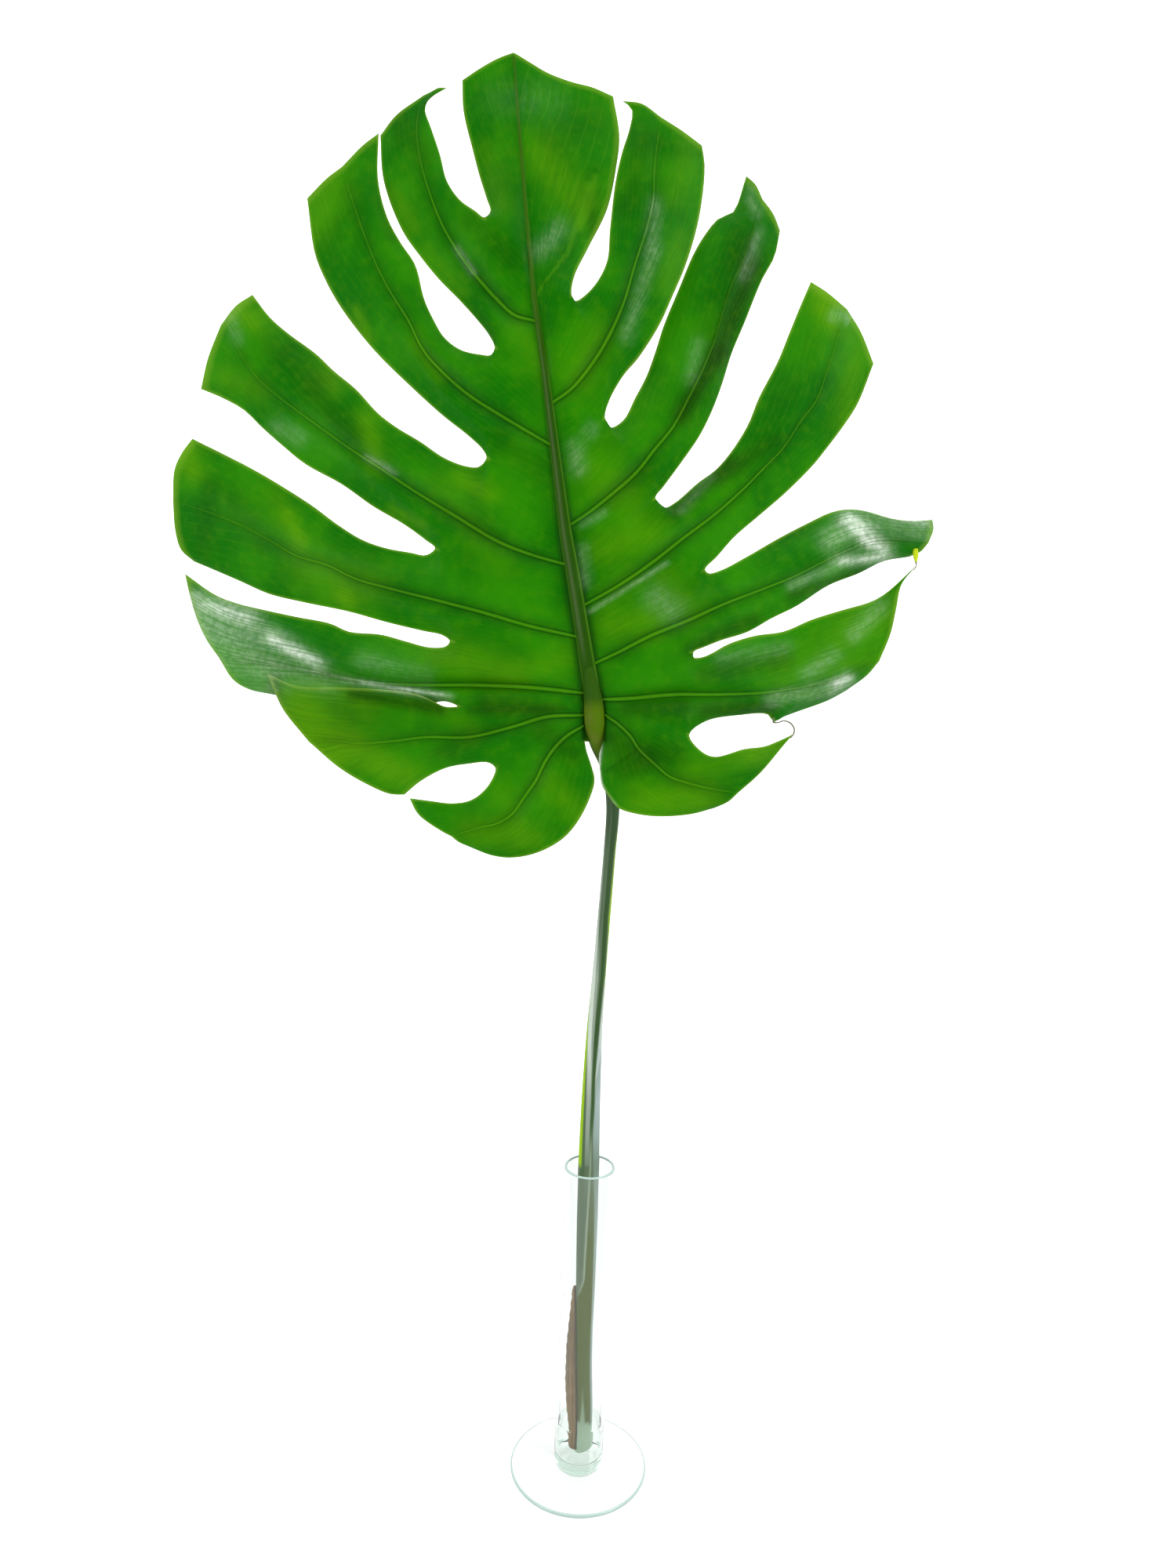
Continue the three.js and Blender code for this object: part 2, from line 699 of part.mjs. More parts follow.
// Columns of one side: veins, partings between lobes, and the midrib's edge from top to bottom
function buildSide(lobes, partings, side) {
  const ribRow = [];
  const partingFeet = partings.map((parting) => ribFoot(parting.root, side));
  const veinColumns = lobes.map((lobe, index) => {
    const rootDepth = lookUp(midribDepth, lobe.root);
    const [footX, footZ] = ribEdge(lobe.root, side);
    const footIndex = lobe.vein === null ? partingFeet[index] : ribFoot(lobe.root, side);
    const column = [{ index: footIndex, depth: rootDepth, x: footX, z: footZ }];
    const curve = lobe.vein === null ? null : planeCurve([[footX, footZ], ...lobe.vein]);
    for (let row = 1; row <= bladeRows; row += 1) {
      const share = rowShare(row);
      let x = 0;
      let z = THREE.MathUtils.lerp(lobe.root, tipZ, share);
      let depth = lookUp(midribDepth, z);
      let ridge = 0;
      if (curve === null) {
        [x, z] = ribEdge(z, side);
      } else {
        const point = curve.getPointAt(share);
        x = point.x;
        z = point.z;
        depth = bent(rootDepth, lobe.depth[0], lobe.depth[1], share);
        ridge = veinHeight * (1 - share);
      }
      const atTip = curve === null && row === bladeRows;
      column.push({ index: atTip ? tipIndex : addPoint(x, z, depth, ridge), depth, x, z });
    }
    return column;
  });
  const partingColumns = partings.map((parting, index) => {
    const [footX, footZ] = ribEdge(parting.root, side);
    const column = [{
      index: partingFeet[index], depth: lookUp(midribDepth, parting.root), x: footX, z: footZ,
    }];
    const curve = parting.rows === 0 ? null : planeCurve([[footX, footZ], ...parting.line]);
    for (let row = 1; row <= parting.rows; row += 1) {
      const along = rowShare(row) / rowShare(parting.rows);
      const point = curve.getPointAt(along);
      const between = (veinColumns[index][row].depth + veinColumns[index + 1][row].depth) / 2;
      const depth = between - pleatHeight * Math.sin((Math.PI / 2) * along);
      column.push({ index: addPoint(point.x, point.z, depth, 0), depth, x: point.x, z: point.z });
    }
    return column;
  });

  // One half of a lobe, between its vein and the parting on that side with the free edge beyond it
  function buildHalf(lobeIndex, partingIndex, edge, end, lift, turn) {
    const lobe = lobes[lobeIndex];
    const vein = veinColumns[lobeIndex];
    const parting = partingColumns[partingIndex];
    const joinRow = parting.length - 1;
    const join = parting[joinRow];
    const joinShare = rowShare(joinRow);
    const crowding = joinRow > 0 ? cutEndCrowding : 1;
    const edgeCurve = planeCurve([[join.x, join.z], ...edge]);
    const border = [...parting];
    for (let row = joinRow + 1; row <= bladeRows; row += 1) {
      const along = ((rowShare(row) - joinShare) / (1 - joinShare)) ** crowding;
      const point = edgeCurve.getPointAt(along);
      const startLift = join.depth - vein[joinRow].depth;
      const phase = waveTurns * along + 2 * lobeIndex + turn;
      const wave = waveHeight * Math.sin(phase) * Math.sin(Math.PI * along);
      const depth = vein[row].depth + bent(startLift, lift[0], lift[1], along) + wave;
      border.push({ index: addPoint(point.x, point.z, depth, 0), depth, x: point.x, z: point.z });
    }
    const corner = border[bladeRows];
    const veinTip = vein[bladeRows];
    const endCurve = planeCurve([[veinTip.x, veinTip.z], ...end, [corner.x, corner.z]]);
    const grid = [];
    for (let row = 0; row <= bladeRows; row += 1) {
      const share = rowShare(row);
      grid.push(acrossSteps.map((fixedAcross, step) => {
        const across = step === 1 ? fixedAcross + ridgeSpread * share : fixedAcross;
        if (step === 0) {
          return vein[row].index;
        }
        if (step === acrossSteps.length - 1) {
          return border[row].index;
        }
        if (row === 0) {
          return vein[0].index === border[0].index
            ? vein[0].index
            : ribFoot(THREE.MathUtils.lerp(lobe.root, partings[partingIndex].root, across), side);
        }
        const ended = endCurve.getPointAt(across);
        const endWeight = share ** endShapeFade;
        const mix = (from, to) => THREE.MathUtils.lerp(from, to, across);
        const x = mix(vein[row].x, border[row].x) + endWeight * (ended.x - mix(veinTip.x, corner.x));
        const z = mix(vein[row].z, border[row].z) + endWeight * (ended.z - mix(veinTip.z, corner.z));
        const swell = swellHeight * Math.sin(Math.PI * across) * Math.min(1, share * swellRise);
        const rounded = (across + Math.sin((Math.PI / 2) * across)) / 2;
        const depth = THREE.MathUtils.lerp(vein[row].depth, border[row].depth, rounded) - swell;
        return addPoint(x, z, depth, 0);
      }));
    }
    for (let row = 0; row < bladeRows; row += 1) {
      for (let step = 0; step + 1 < acrossSteps.length; step += 1) {
        const corners = [grid[row][step], grid[row + 1][step], grid[row + 1][step + 1], grid[row][step + 1]];
        addCell(side * turn > 0 ? corners : corners.reverse());
      }
    }
    return grid[0];
  }

  lobes.forEach((lobe, index) => {
    if (lobe.vein === null) {
      ribRow.push(tipIndex, ...veinColumns[index].slice(1, -1).reverse().map((point) => point.index));
    } else {
      const feet = buildHalf(index, index - 1, lobe.above, lobe.endAbove, lobe.lift.above, 1);
      ribRow.push(...feet.slice(0, -1).reverse());
    }
    const feet = buildHalf(index, index, lobe.below, lobe.endBelow, lobe.lift.below, -1);
    ribRow.push(...feet.slice(1));
  });
  return { ribRow: ribRow.filter((point, place) => point !== ribRow[place - 1]), partingFeet };
}

// Triangles between two rows of points that both run down from the same point
function fillBetween(leftRow, rightRow) {
  let i = 0;
  let j = 0;
  while (i + 1 < leftRow.length || j + 1 < rightRow.length) {
    const leftNext = i + 1 < leftRow.length ? drawnPoints[leftRow[i + 1]].z : -Infinity;
    const rightNext = j + 1 < rightRow.length ? drawnPoints[rightRow[j + 1]].z : -Infinity;
    if (leftNext >= rightNext) {
      addFace(leftRow[i], leftRow[i + 1], rightRow[j]);
      i += 1;
    } else {
      addFace(leftRow[i], rightRow[j + 1], rightRow[j]);
      j += 1;
    }
  }
}

const leftSide = buildSide(leftLobes, leftPartings, -1);
const rightSide = buildSide(rightLobes, rightPartings, 1);

// Midrib: its crest runs from the tip to the knee, and its sides meet the lobes
const crestRow = [tipIndex];
for (let i = 1; i <= crestSteps; i += 1) {
  const height = THREE.MathUtils.lerp(tipZ, kneeTop, i / crestSteps);
  const ridge = midribHeight * Math.sqrt(i / crestSteps);
  crestRow.push(addPoint(lookUp(midribX, height), height, lookUp(midribDepth, height), ridge));
}
function downToKnee({ ribRow, partingFeet }) {
  const lastFoot = partingFeet[partingFeet.length - kneePartingFromEnd];
  return ribRow.slice(0, ribRow.indexOf(lastFoot) + 1);
}

fillBetween(downToKnee(leftSide), crestRow);
fillBetween(crestRow, downToKnee(rightSide));

// Thicken the middle surface: a front, a back with its ridges, and a wall along every free edge
const normals = drawnPoints.map(() => new THREE.Vector3());
middleFaces.forEach(([a, b, c]) => {
  const sideOne = drawnPoints[b].clone().sub(drawnPoints[a]);
  const sideTwo = drawnPoints[c].clone().sub(drawnPoints[a]);
  const weighted = sideOne.cross(sideTwo);
  [a, b, c].forEach((point) => normals[point].add(weighted));
});
normals.forEach((normal) => normal.normalize());
const halfThickness = bladeThickness / 2;
const fronts = drawnPoints.map((point, i) => point.clone().addScaledVector(normals[i], halfThickness));
const backs = drawnPoints.map((point, i) => point.clone()
  .addScaledVector(normals[i], -halfThickness - backRidge[i]));
const backStart = drawnPoints.length;
const directedEdges = new Set(middleFaces.flatMap(([a, b, c]) => [`${a} ${b}`, `${b} ${c}`, `${c} ${a}`]));
const bladeFaces = middleFaces.flatMap(([a, b, c]) => [
  [a, b, c],
  [c + backStart, b + backStart, a + backStart],
]);
directedEdges.forEach((edge) => {
  const [a, b] = edge.split(" ").map(Number);
  if (!directedEdges.has(`${b} ${a}`)) {
    bladeFaces.push([b, a, a + backStart], [b, a + backStart, b + backStart]);
  }
});
addPart("leaf_blade", fromTriangles([...fronts, ...backs], bladeFaces), leafGreen);

export default leafGroup;
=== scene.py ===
import math

import bpy
import numpy as np
from mathutils import Matrix, Vector
from mathutils.kdtree import KDTree


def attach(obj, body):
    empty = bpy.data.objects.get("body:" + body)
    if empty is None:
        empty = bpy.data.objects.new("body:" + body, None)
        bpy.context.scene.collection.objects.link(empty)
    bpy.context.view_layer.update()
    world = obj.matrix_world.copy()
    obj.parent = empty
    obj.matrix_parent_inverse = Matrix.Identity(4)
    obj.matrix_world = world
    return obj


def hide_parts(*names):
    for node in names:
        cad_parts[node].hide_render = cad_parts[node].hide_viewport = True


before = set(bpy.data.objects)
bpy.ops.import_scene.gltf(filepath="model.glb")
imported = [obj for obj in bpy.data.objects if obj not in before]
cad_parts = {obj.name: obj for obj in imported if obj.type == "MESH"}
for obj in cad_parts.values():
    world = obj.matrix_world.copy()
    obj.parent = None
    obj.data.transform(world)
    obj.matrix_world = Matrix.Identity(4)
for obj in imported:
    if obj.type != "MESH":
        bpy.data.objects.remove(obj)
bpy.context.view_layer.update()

# One monstera leaf standing in a glass tube vase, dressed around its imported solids.
# Tables and measures are in millimetres, with the origin at the centre of the foot's underside.
mm = 0.001


# Small helpers

def tableValue(table, key):
    keys, values = zip(*table)
    return float(np.interp(key, keys, values))


def blendValue(start, end, share):
    return start + (end - start) * share


def bentValue(start, middle, end, share):  # passes through middle half way
    bend = 2 * start - 4 * middle + 2 * end
    return start + (end - start - bend) * share + bend * share * share


def smoothStep(low, high, value):
    share = min(1.0, max(0.0, (value - low) / (high - low)))
    return share * share * (3 - 2 * share)


def hump(distance, width):
    return math.exp(-((distance / width) ** 2))


# A centripetal curve through the points, and the share of its length at each sample
def smoothLine(points, steps=20, before=None):
    points = np.array(points, float)
    ahead = 2 * points[0] - points[1] if before is None else np.array(before, float)
    points = np.vstack([ahead, points, 2 * points[-1] - points[-2]])
    samples = []
    for first, start, end, last in zip(points, points[1:], points[2:], points[3:]):
        gapIn, gap, gapOut = [max(1e-4, np.linalg.norm(b - a)) ** 0.5
                              for a, b in ((first, start), (start, end), (end, last))]
        leave = ((start - first) / gapIn - (end - first) / (gapIn + gap) + (end - start) / gap) * gap
        arrive = ((end - start) / gap - (last - start) / (gap + gapOut) + (last - end) / gapOut) * gap
        for t in np.arange(steps) / steps:
            samples.append(start + leave * t + (3 * (end - start) - 2 * leave - arrive) * t ** 2
                           + (2 * (start - end) + leave + arrive) * t ** 3)
    samples = np.array(samples + [points[-2]])
    lengths = np.concatenate([[0], np.cumsum(np.linalg.norm(np.diff(samples, axis=0), axis=1))])
    return samples, lengths / lengths[-1]


def pointAlong(line, share):
    samples, shares = line
    return [float(np.interp(share, shares, samples[:, axis])) for axis in range(samples.shape[1])]


def makePiece(name, points, faces, slotName, materials, replaced=()):
    mesh = bpy.data.meshes.new(name)
    mesh.from_pydata([tuple(np.array(point) * mm) for point in points], [], faces)
    mesh.validate()
    piece = bpy.data.objects.new(name, mesh)
    bpy.context.scene.collection.objects.link(piece)
    for material in materials:
        mesh.materials.append(material)
    mesh.polygons.foreach_set("use_smooth", [True] * len(mesh.polygons))
    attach(piece, "root")
    if replaced:
        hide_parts(*replaced)
    return piece


def storeValues(piece, name, values, kind="FLOAT"):  # one value or vector a vertex, read in the materials
    attribute = piece.data.attributes.new(name, kind, "POINT")
    key = "value" if kind == "FLOAT" else "vector"
    attribute.data.foreach_set(key, np.array(values, np.float32).ravel())


def sharpenFrom(piece, degrees):
    piece.data.set_sharp_from_angle(angle=math.radians(degrees))


# Materials

def newMaterial(name, colour, **settings):
    material = bpy.data.materials.new(name)
    material.use_nodes = True
    material.diffuse_color = (*colour, 1)
    shader = material.node_tree.nodes["Principled BSDF"]
    shader.inputs["Base Color"].default_value = (*colour, 1)
    for key, value in settings.items():
        shader.inputs[{
            "roughness": "Roughness", "specular": "Specular IOR Level", "ior": "IOR",
            "transmission": "Transmission Weight", "coatRoughness": "Coat Roughness",
        }[key]].default_value = value
    return material, shader


def feed(tree, socket, value):
    if isinstance(value, bpy.types.NodeSocket):
        tree.links.new(value, socket)
    else:
        socket.default_value = value


def addNode(tree, kind, inputs=None, **settings):
    node = tree.nodes.new(kind)
    for key, value in settings.items():
        setattr(node, key, value)
    for key, value in (inputs or {}).items():
        feed(tree, node.inputs[key], value)
    return node


def readValue(tree, name, output="Fac"):
    return addNode(tree, "ShaderNodeAttribute", attribute_name=name).outputs[output]


def layerColours(tree, colour, layers, look):  # each layer is a mask, or the name of a mark, and its colour
    for mask, key in layers:
        mask = readValue(tree, mask) if isinstance(mask, str) else mask
        colour = mixColour(tree, mask, colour, look[key])
    return colour


def times(tree, one, two):
    return calc(tree, "MULTIPLY", one, two)


def calc(tree, operation, one, two=0.0, limit=False):
    return addNode(tree, "ShaderNodeMath", {0: one, 1: two}, operation=operation, use_clamp=limit).outputs[0]


def mixColour(tree, factor, one, two):
    node = addNode(tree, "ShaderNodeMix", data_type="RGBA")
    feed(tree, node.inputs["Factor"], factor)
    sockets = [socket for socket in node.inputs if socket.type == "RGBA"]
    for socket, value in zip(sockets, (one, two)):
        feed(tree, socket, value if isinstance(value, bpy.types.NodeSocket) else (*value, 1))
    return [socket for socket in node.outputs if socket.type == "RGBA"][0]


def rampValue(tree, value, low, high, start=0.0, end=1.0):
    return addNode(tree, "ShaderNodeMapRange", {
        "Value": value, "From Min": low, "From Max": high, "To Min": start, "To Max": end,
    }, interpolation_type="SMOOTHSTEP").outputs["Result"]


def addBump(tree, shader, height, strength, distance):
    bump = addNode(tree, "ShaderNodeBump", {"Height": height, "Strength": strength, "Distance": distance})
    feed(tree, shader.inputs["Normal"], bump.outputs["Normal"])


def mixShaders(tree, share, first, second):
    both = addNode(tree, "ShaderNodeMixShader", {"Fac": share})
    feed(tree, both.inputs[1], first.outputs["BSDF"])
    feed(tree, both.inputs[2], second.outputs["BSDF"])
    feed(tree, tree.nodes["Material Output"].inputs["Surface"], both.outputs[0])


def useGroup(tree, group, **inputs):
    node = addNode(tree, "ShaderNodeGroup", node_tree=group)
    for key, value in inputs.items():
        feed(tree, node.inputs[key[0].upper() + key[1:]], value)
    return node.outputs[0]


def newGroup(name, inputs):
    group = bpy.data.node_groups.new(name, "ShaderNodeTree")
    for label, value in inputs:
        kind = "NodeSocketVector" if value is None else "NodeSocketFloat"
        socket = group.interface.new_socket(label, in_out="INPUT", socket_type=kind)
        if value is not None:
            socket.default_value = value
    group.interface.new_socket("Mask", in_out="OUTPUT", socket_type="NodeSocketFloat")
    given = addNode(group, "NodeGroupInput").outputs
    result = addNode(group, "NodeGroupOutput").inputs["Mask"]
    return group, given, result


def makeMottle():  # soft patches over the surface
    group, given, result = newGroup("mottle", [("Scale", 20.0), ("Low", 0.4), ("High", 0.6)])
    place = addNode(group, "ShaderNodeTexCoord").outputs["Object"]
    noise = addNode(group, "ShaderNodeTexNoise", {"Vector": place, "Scale": given["Scale"], "Detail": 3.0})
    feed(group, result, rampValue(group, noise.outputs["Fac"], given["Low"], given["High"]))
    return group


def makeFibres():  # long streaks, finer across than along, where place is (across, along)
    group, given, result = newGroup("fibres", [
        ("Place", None), ("Across", 60.0), ("Along", 6.0), ("Low", 0.35), ("High", 0.65),
    ])
    parts = addNode(group, "ShaderNodeSeparateXYZ", {0: given["Place"]}).outputs
    stretched = addNode(group, "ShaderNodeCombineXYZ", {
        "X": calc(group, "MULTIPLY", parts["X"], given["Across"]),
        "Y": calc(group, "MULTIPLY", parts["Y"], given["Along"]),
        "Z": parts["Z"],
    }).outputs[0]
    noise = addNode(group, "ShaderNodeTexNoise", {"Vector": stretched, "Scale": 1.0, "Detail": 2.0})
    feed(group, result, rampValue(group, noise.outputs["Fac"], given["Low"], given["High"]))
    return group


def makeFineVeins():  # small veins that leave the main vein at a low angle, where place is (across, along)
    group, given, result = newGroup("fineVeins", [
        ("Place", None), ("Count", 8.0), ("Drift", 0.45), ("Width", 0.1), ("Wobble", 0.9),
    ])
    parts = addNode(group, "ShaderNodeSeparateXYZ", {0: given["Place"]}).outputs
    where = addNode(group, "ShaderNodeTexCoord").outputs["Object"]
    noise = addNode(group, "ShaderNodeTexNoise", {"Vector": where, "Scale": 45.0, "Detail": 1.0}).outputs["Fac"]
    drifted = calc(group, "SUBTRACT", parts["X"], calc(group, "MULTIPLY", parts["Y"], given["Drift"]))
    counted = calc(group, "MULTIPLY", drifted, given["Count"])
    wandering = calc(group, "ADD", counted, calc(group, "MULTIPLY", noise, given["Wobble"]))
    fromLine = calc(group, "ABSOLUTE", calc(group, "SUBTRACT", calc(group, "FRACT", wandering), 0.5))
    feed(group, result, rampValue(group, fromLine, given["Width"], 0.0))
    return group


mottle = makeMottle()
fibres = makeFibres()
fineVeins = makeFineVeins()
print("effects ready")


# Leaf blade: outline tables as [x, z] on the upright plane through the tube's axis, as seen from the
# viewing point. Every point slides along its line of sight to its own depth.

bladeShape = {
    "viewingPoint": (-9.6, -612.0, 514.5),
    "thickness": 0.5,
    "edgeThickness": 0.3,
    "rows": 12,
    "rowSplits": 5,
    "firstRowShare": 0.034,
    "firstRowSplits": 2,
    "columns": 24,
    "columnCrowding": 1.6,
    "pleatHeight": 3.2,
    "swellHeight": 1.7,
    "swellRise": 4,
    "waveHeight": 1.2,
    "waveTurns": 9,
    "leanSpan": 4,
    "cutEndCrowding": 1.4,
    "endShapeFade": 3,
    "kneeTop": 480,
    "kneeCup": 3.0,
    "channelDepth": 1.4,
    "channelWidth": 4.5,
    "cordHeight": 0.7,
    "cordWidth": 0.5,
    "grooveOffset": 1.25,
    "grooveWidth": 0.6,
    "backVeinHeight": 0.9,
    "backVeinWidth": 1.2,
    "ribGroove": 0.45,
    "ribGrooveWidth": 2.2,
    "ribCrown": 0.7,
    "ribBack": 3.4,
    "ribColumns": (0.05, 0.1, 0.16, 0.23, 0.31, 0.4, 0.5, 0.6, 0.7, 0.8, 0.9, 0.97),
    "kneeFade": 7,
    "sheetFrom": 450,
    "fullRibHalf": 4,
    "fullBackHalf": 3.5,
    "crownBend": 0.6,
    "slimmestVein": 0.45,
    "veinTipSize": 0.3,
    "extraVeinSize": 0.35,
    "marginWidth": 0.7,
    "thinEdgeWidth": 0.6,
}

# How strongly the marks beside the veins and along the midrib's band show: the groove marks beside the veins
# and the midrib are painted shade, and the band's highlight line is a painted highlight
markShape = {
    "cord": 1.6,
    "groove": 1.3,
    "besideVein": 0.85,
    "inChannel": 0.4,
    "besideRib": 0.9,
    "nearRib": 0.35,
    "nearRibWidth": 7.0,
    "kneeSide": (0.6, 0.85),
    "bandEdge": (1.0, 0.9),
    "rightLight": (0.8, 0.12),
    "leftLight": (-0.88, 0.08),
    "leftLightShare": 0.5,
    "slimLight": 0.55,
    "slimHalf": (2.4, 1.2),
    "highlightLine": (-0.3, 0.26),
    "highlightRise": (488, 512),
    "highlightFall": (740, 640),
}

midribLine = [
    (-7, 450), (-8, 471), (-10, 481), (-15, 506), (-21, 536), (-27, 564), (-34, 606), (-41, 648), (-48, 686),
    (-53, 725), (-58, 767), (-62, 804),
]

midribHalfWidth = [
    (450, 5.5), (466, 5.5), (478, 4.8), (510, 4.2), (550, 3.8), (606, 2.7), (690, 1.4), (760, 0.8),
    (804, 0.4),
]

midribDepth = [(450, -1.5), (472, 0), (520, 3), (600, 10), (690, 21), (804, 44)]

leftLobes = [
    {
        "root": 706,
        "vein": None,
        "below": [(-72, 727), (-74, 733), (-78, 744), (-82, 757), (-87, 775), (-88, 790)],
        "endBelow": [(-70, 801), (-79, 796)],
        "belowLift": (5, 9),
    },
    {
        "root": 674,
        "vein": [
            (-58, 676), (-68, 684), (-79, 695), (-89, 707), (-97, 719), (-103, 732), (-108, 746),
            (-111, 760), (-111, 772), (-108, 782),
        ],
        "above": [
            (-80, 727), (-88, 732), (-95, 741), (-99, 754), (-104, 767), (-107, 775), (-106, 779),
            (-103, 782), (-96, 786),
        ],
        "below": [
            (-71, 665), (-77, 672), (-87, 682), (-98, 692), (-108, 703), (-118, 716), (-128, 740),
            (-130, 762),
        ],
        "endAbove": [(-104, 784), (-100, 786)],
        "endBelow": [(-111, 780), (-122, 772)],
        "depth": (30, 52),
        "aboveLift": (1, 3),
        "belowLift": (2, 5),
    },
    {
        "root": 611,
        "vein": [
            (-52, 618), (-67, 626), (-81, 634), (-94, 644), (-106, 656), (-115, 672), (-124, 685),
            (-132, 699), (-142, 723), (-150, 746),
        ],
        "above": [
            (-70, 655), (-75, 655), (-86, 657), (-95, 663), (-101, 672), (-106, 682), (-111, 699),
            (-119, 710), (-126, 722), (-131, 740), (-131, 763),
        ],
        "below": [
            (-73, 606), (-81, 613), (-95, 623), (-112, 637), (-130, 653), (-142, 666), (-152, 679),
            (-159, 691), (-164, 703), (-168, 730),
        ],
        "endAbove": [(-139, 757)],
        "endBelow": [(-158, 740)],
        "depth": (24, 52),
        "aboveLift": (1, 4),
        "belowLift": (2, 6),
    },
    {
        "root": 548,
        "vein": [
            (-47, 552), (-64, 558), (-88, 571), (-108, 582), (-128, 594), (-145, 604), (-168, 619),
            (-184, 630), (-197, 641), (-211, 662), (-214, 665),
        ],
        "above": [
            (-75, 597), (-82, 597), (-94, 601), (-107, 609), (-120, 616), (-130, 623), (-142, 635),
            (-154, 644), (-163, 652), (-178, 662), (-188, 670), (-197, 681),
        ],
        "below": [
            (-103, 557), (-115, 565), (-132, 574), (-149, 585), (-169, 595), (-181, 604), (-192, 613),
            (-202, 622), (-214, 628), (-225, 632),
        ],
        "endAbove": [(-206, 675)],
        "endBelow": [(-221, 648)],
        "depth": (22, 58),
        "aboveLift": (1, 5),
        "belowLift": (1, 5),
    },
    {
        "root": 509,
        "vein": [
            (-46, 513), (-70, 519), (-97, 525), (-121, 530), (-142, 535), (-158, 542), (-174, 546),
            (-189, 554), (-201, 560), (-220, 567), (-241, 573),
        ],
        "above": [
            (-103, 549), (-111, 550), (-125, 552), (-138, 556), (-152, 564), (-165, 573), (-182, 583),
            (-197, 591), (-212, 598), (-230, 606),
        ],
        "below": [
            (-93, 506), (-104, 508), (-124, 512), (-145, 517), (-169, 521), (-189, 525), (-204, 531),
            (-222, 538), (-230, 541),
        ],
        "endAbove": [(-240, 589), (-236, 598)],
        "endBelow": [(-240, 557), (-237, 547)],
        "depth": (18, 60),
        "aboveLift": (2, 6),
        "belowLift": (2, 4),
    },
    {
        "root": 478,
        "vein": [
            (-44, 479), (-79, 479), (-105, 478), (-127, 478), (-148, 480), (-165, 483), (-190, 486),
            (-217, 489),
        ],
        "above": [
            (-91, 500), (-100, 499), (-114, 502), (-127, 505), (-145, 506), (-155, 510), (-174, 513),
            (-191, 516), (-206, 519), (-218, 523), (-235, 534),
        ],
        "below": [(-91, 469.5), (-103, 467), (-125, 466), (-147, 466), (-166, 466.5), (-188, 470)],
        "endAbove": [(-224, 499), (-229, 510), (-233, 524)],
        "endBelow": [(-209, 477), (-200, 472)],
        "depth": (17, 46),
        "aboveLift": (3, 8),
        "belowLift": (14, 22),
    },
    {
        "root": 465,
        "vein": [
            (-34, 463), (-52, 457), (-77, 450), (-101, 449), (-120, 446), (-139, 444), (-152, 445),
            (-167, 444),
        ],
        "above": [
            (-91, 466.5), (-97, 469), (-104, 472), (-114, 474), (-136, 475), (-152, 475), (-174, 475),
            (-190, 481),
        ],
        "below": [(-66, 436), (-77, 435), (-90, 432), (-104, 424), (-113, 416)],
        "endAbove": [(-181, 461), (-186, 471)],
        "endBelow": [(-150, 430), (-134, 421), (-121, 416)],
        "depth": (-1, 7),
        "aboveLift": (-2, 0),
        "belowLift": (1, 5),
    },
    {
        "root": 459,
        "vein": [
            (-22, 453), (-28, 447), (-34, 438), (-39, 427), (-46, 416), (-52, 407), (-61, 401), (-69, 399),
            (-86, 393),
        ],
        "above": [(-64, 426), (-69, 419), (-76, 414), (-86, 412), (-99, 413), (-110, 414)],
        "below": [
            (-11, 444), (-8, 436), (-6, 428), (-9, 416), (-16, 402), (-24, 393), (-38, 385), (-52, 382),
            (-63, 383), (-77, 388),
        ],
        "endAbove": [(-92, 396), (-105, 405)],
        "endBelow": [(-82, 390)],
        "depth": (-7, -5),
        "aboveLift": (0, 3),
        "belowLift": (-2, 3),
    },
]

leftPartings = [
    {"root": 706, "line": [(-62, 714), (-75, 724)], "rows": 3},
    {"root": 642, "line": [(-55, 650), (-68, 659)], "rows": 3},
    {"root": 576, "line": [(-52, 588), (-71, 602)], "rows": 3},
    {"root": 527, "line": [(-52, 534), (-76, 543), (-98, 553)], "rows": 4},
    {"root": 491, "line": [(-43, 494), (-69, 498), (-89, 503)], "rows": 4},
    {"root": 471, "line": [(-37, 470), (-59, 468), (-84, 467)], "rows": 4},
    {"root": 462, "line": [(-33, 454), (-48, 444), (-62, 433)], "rows": 4},
    {"root": 450, "line": [], "rows": 0},
]

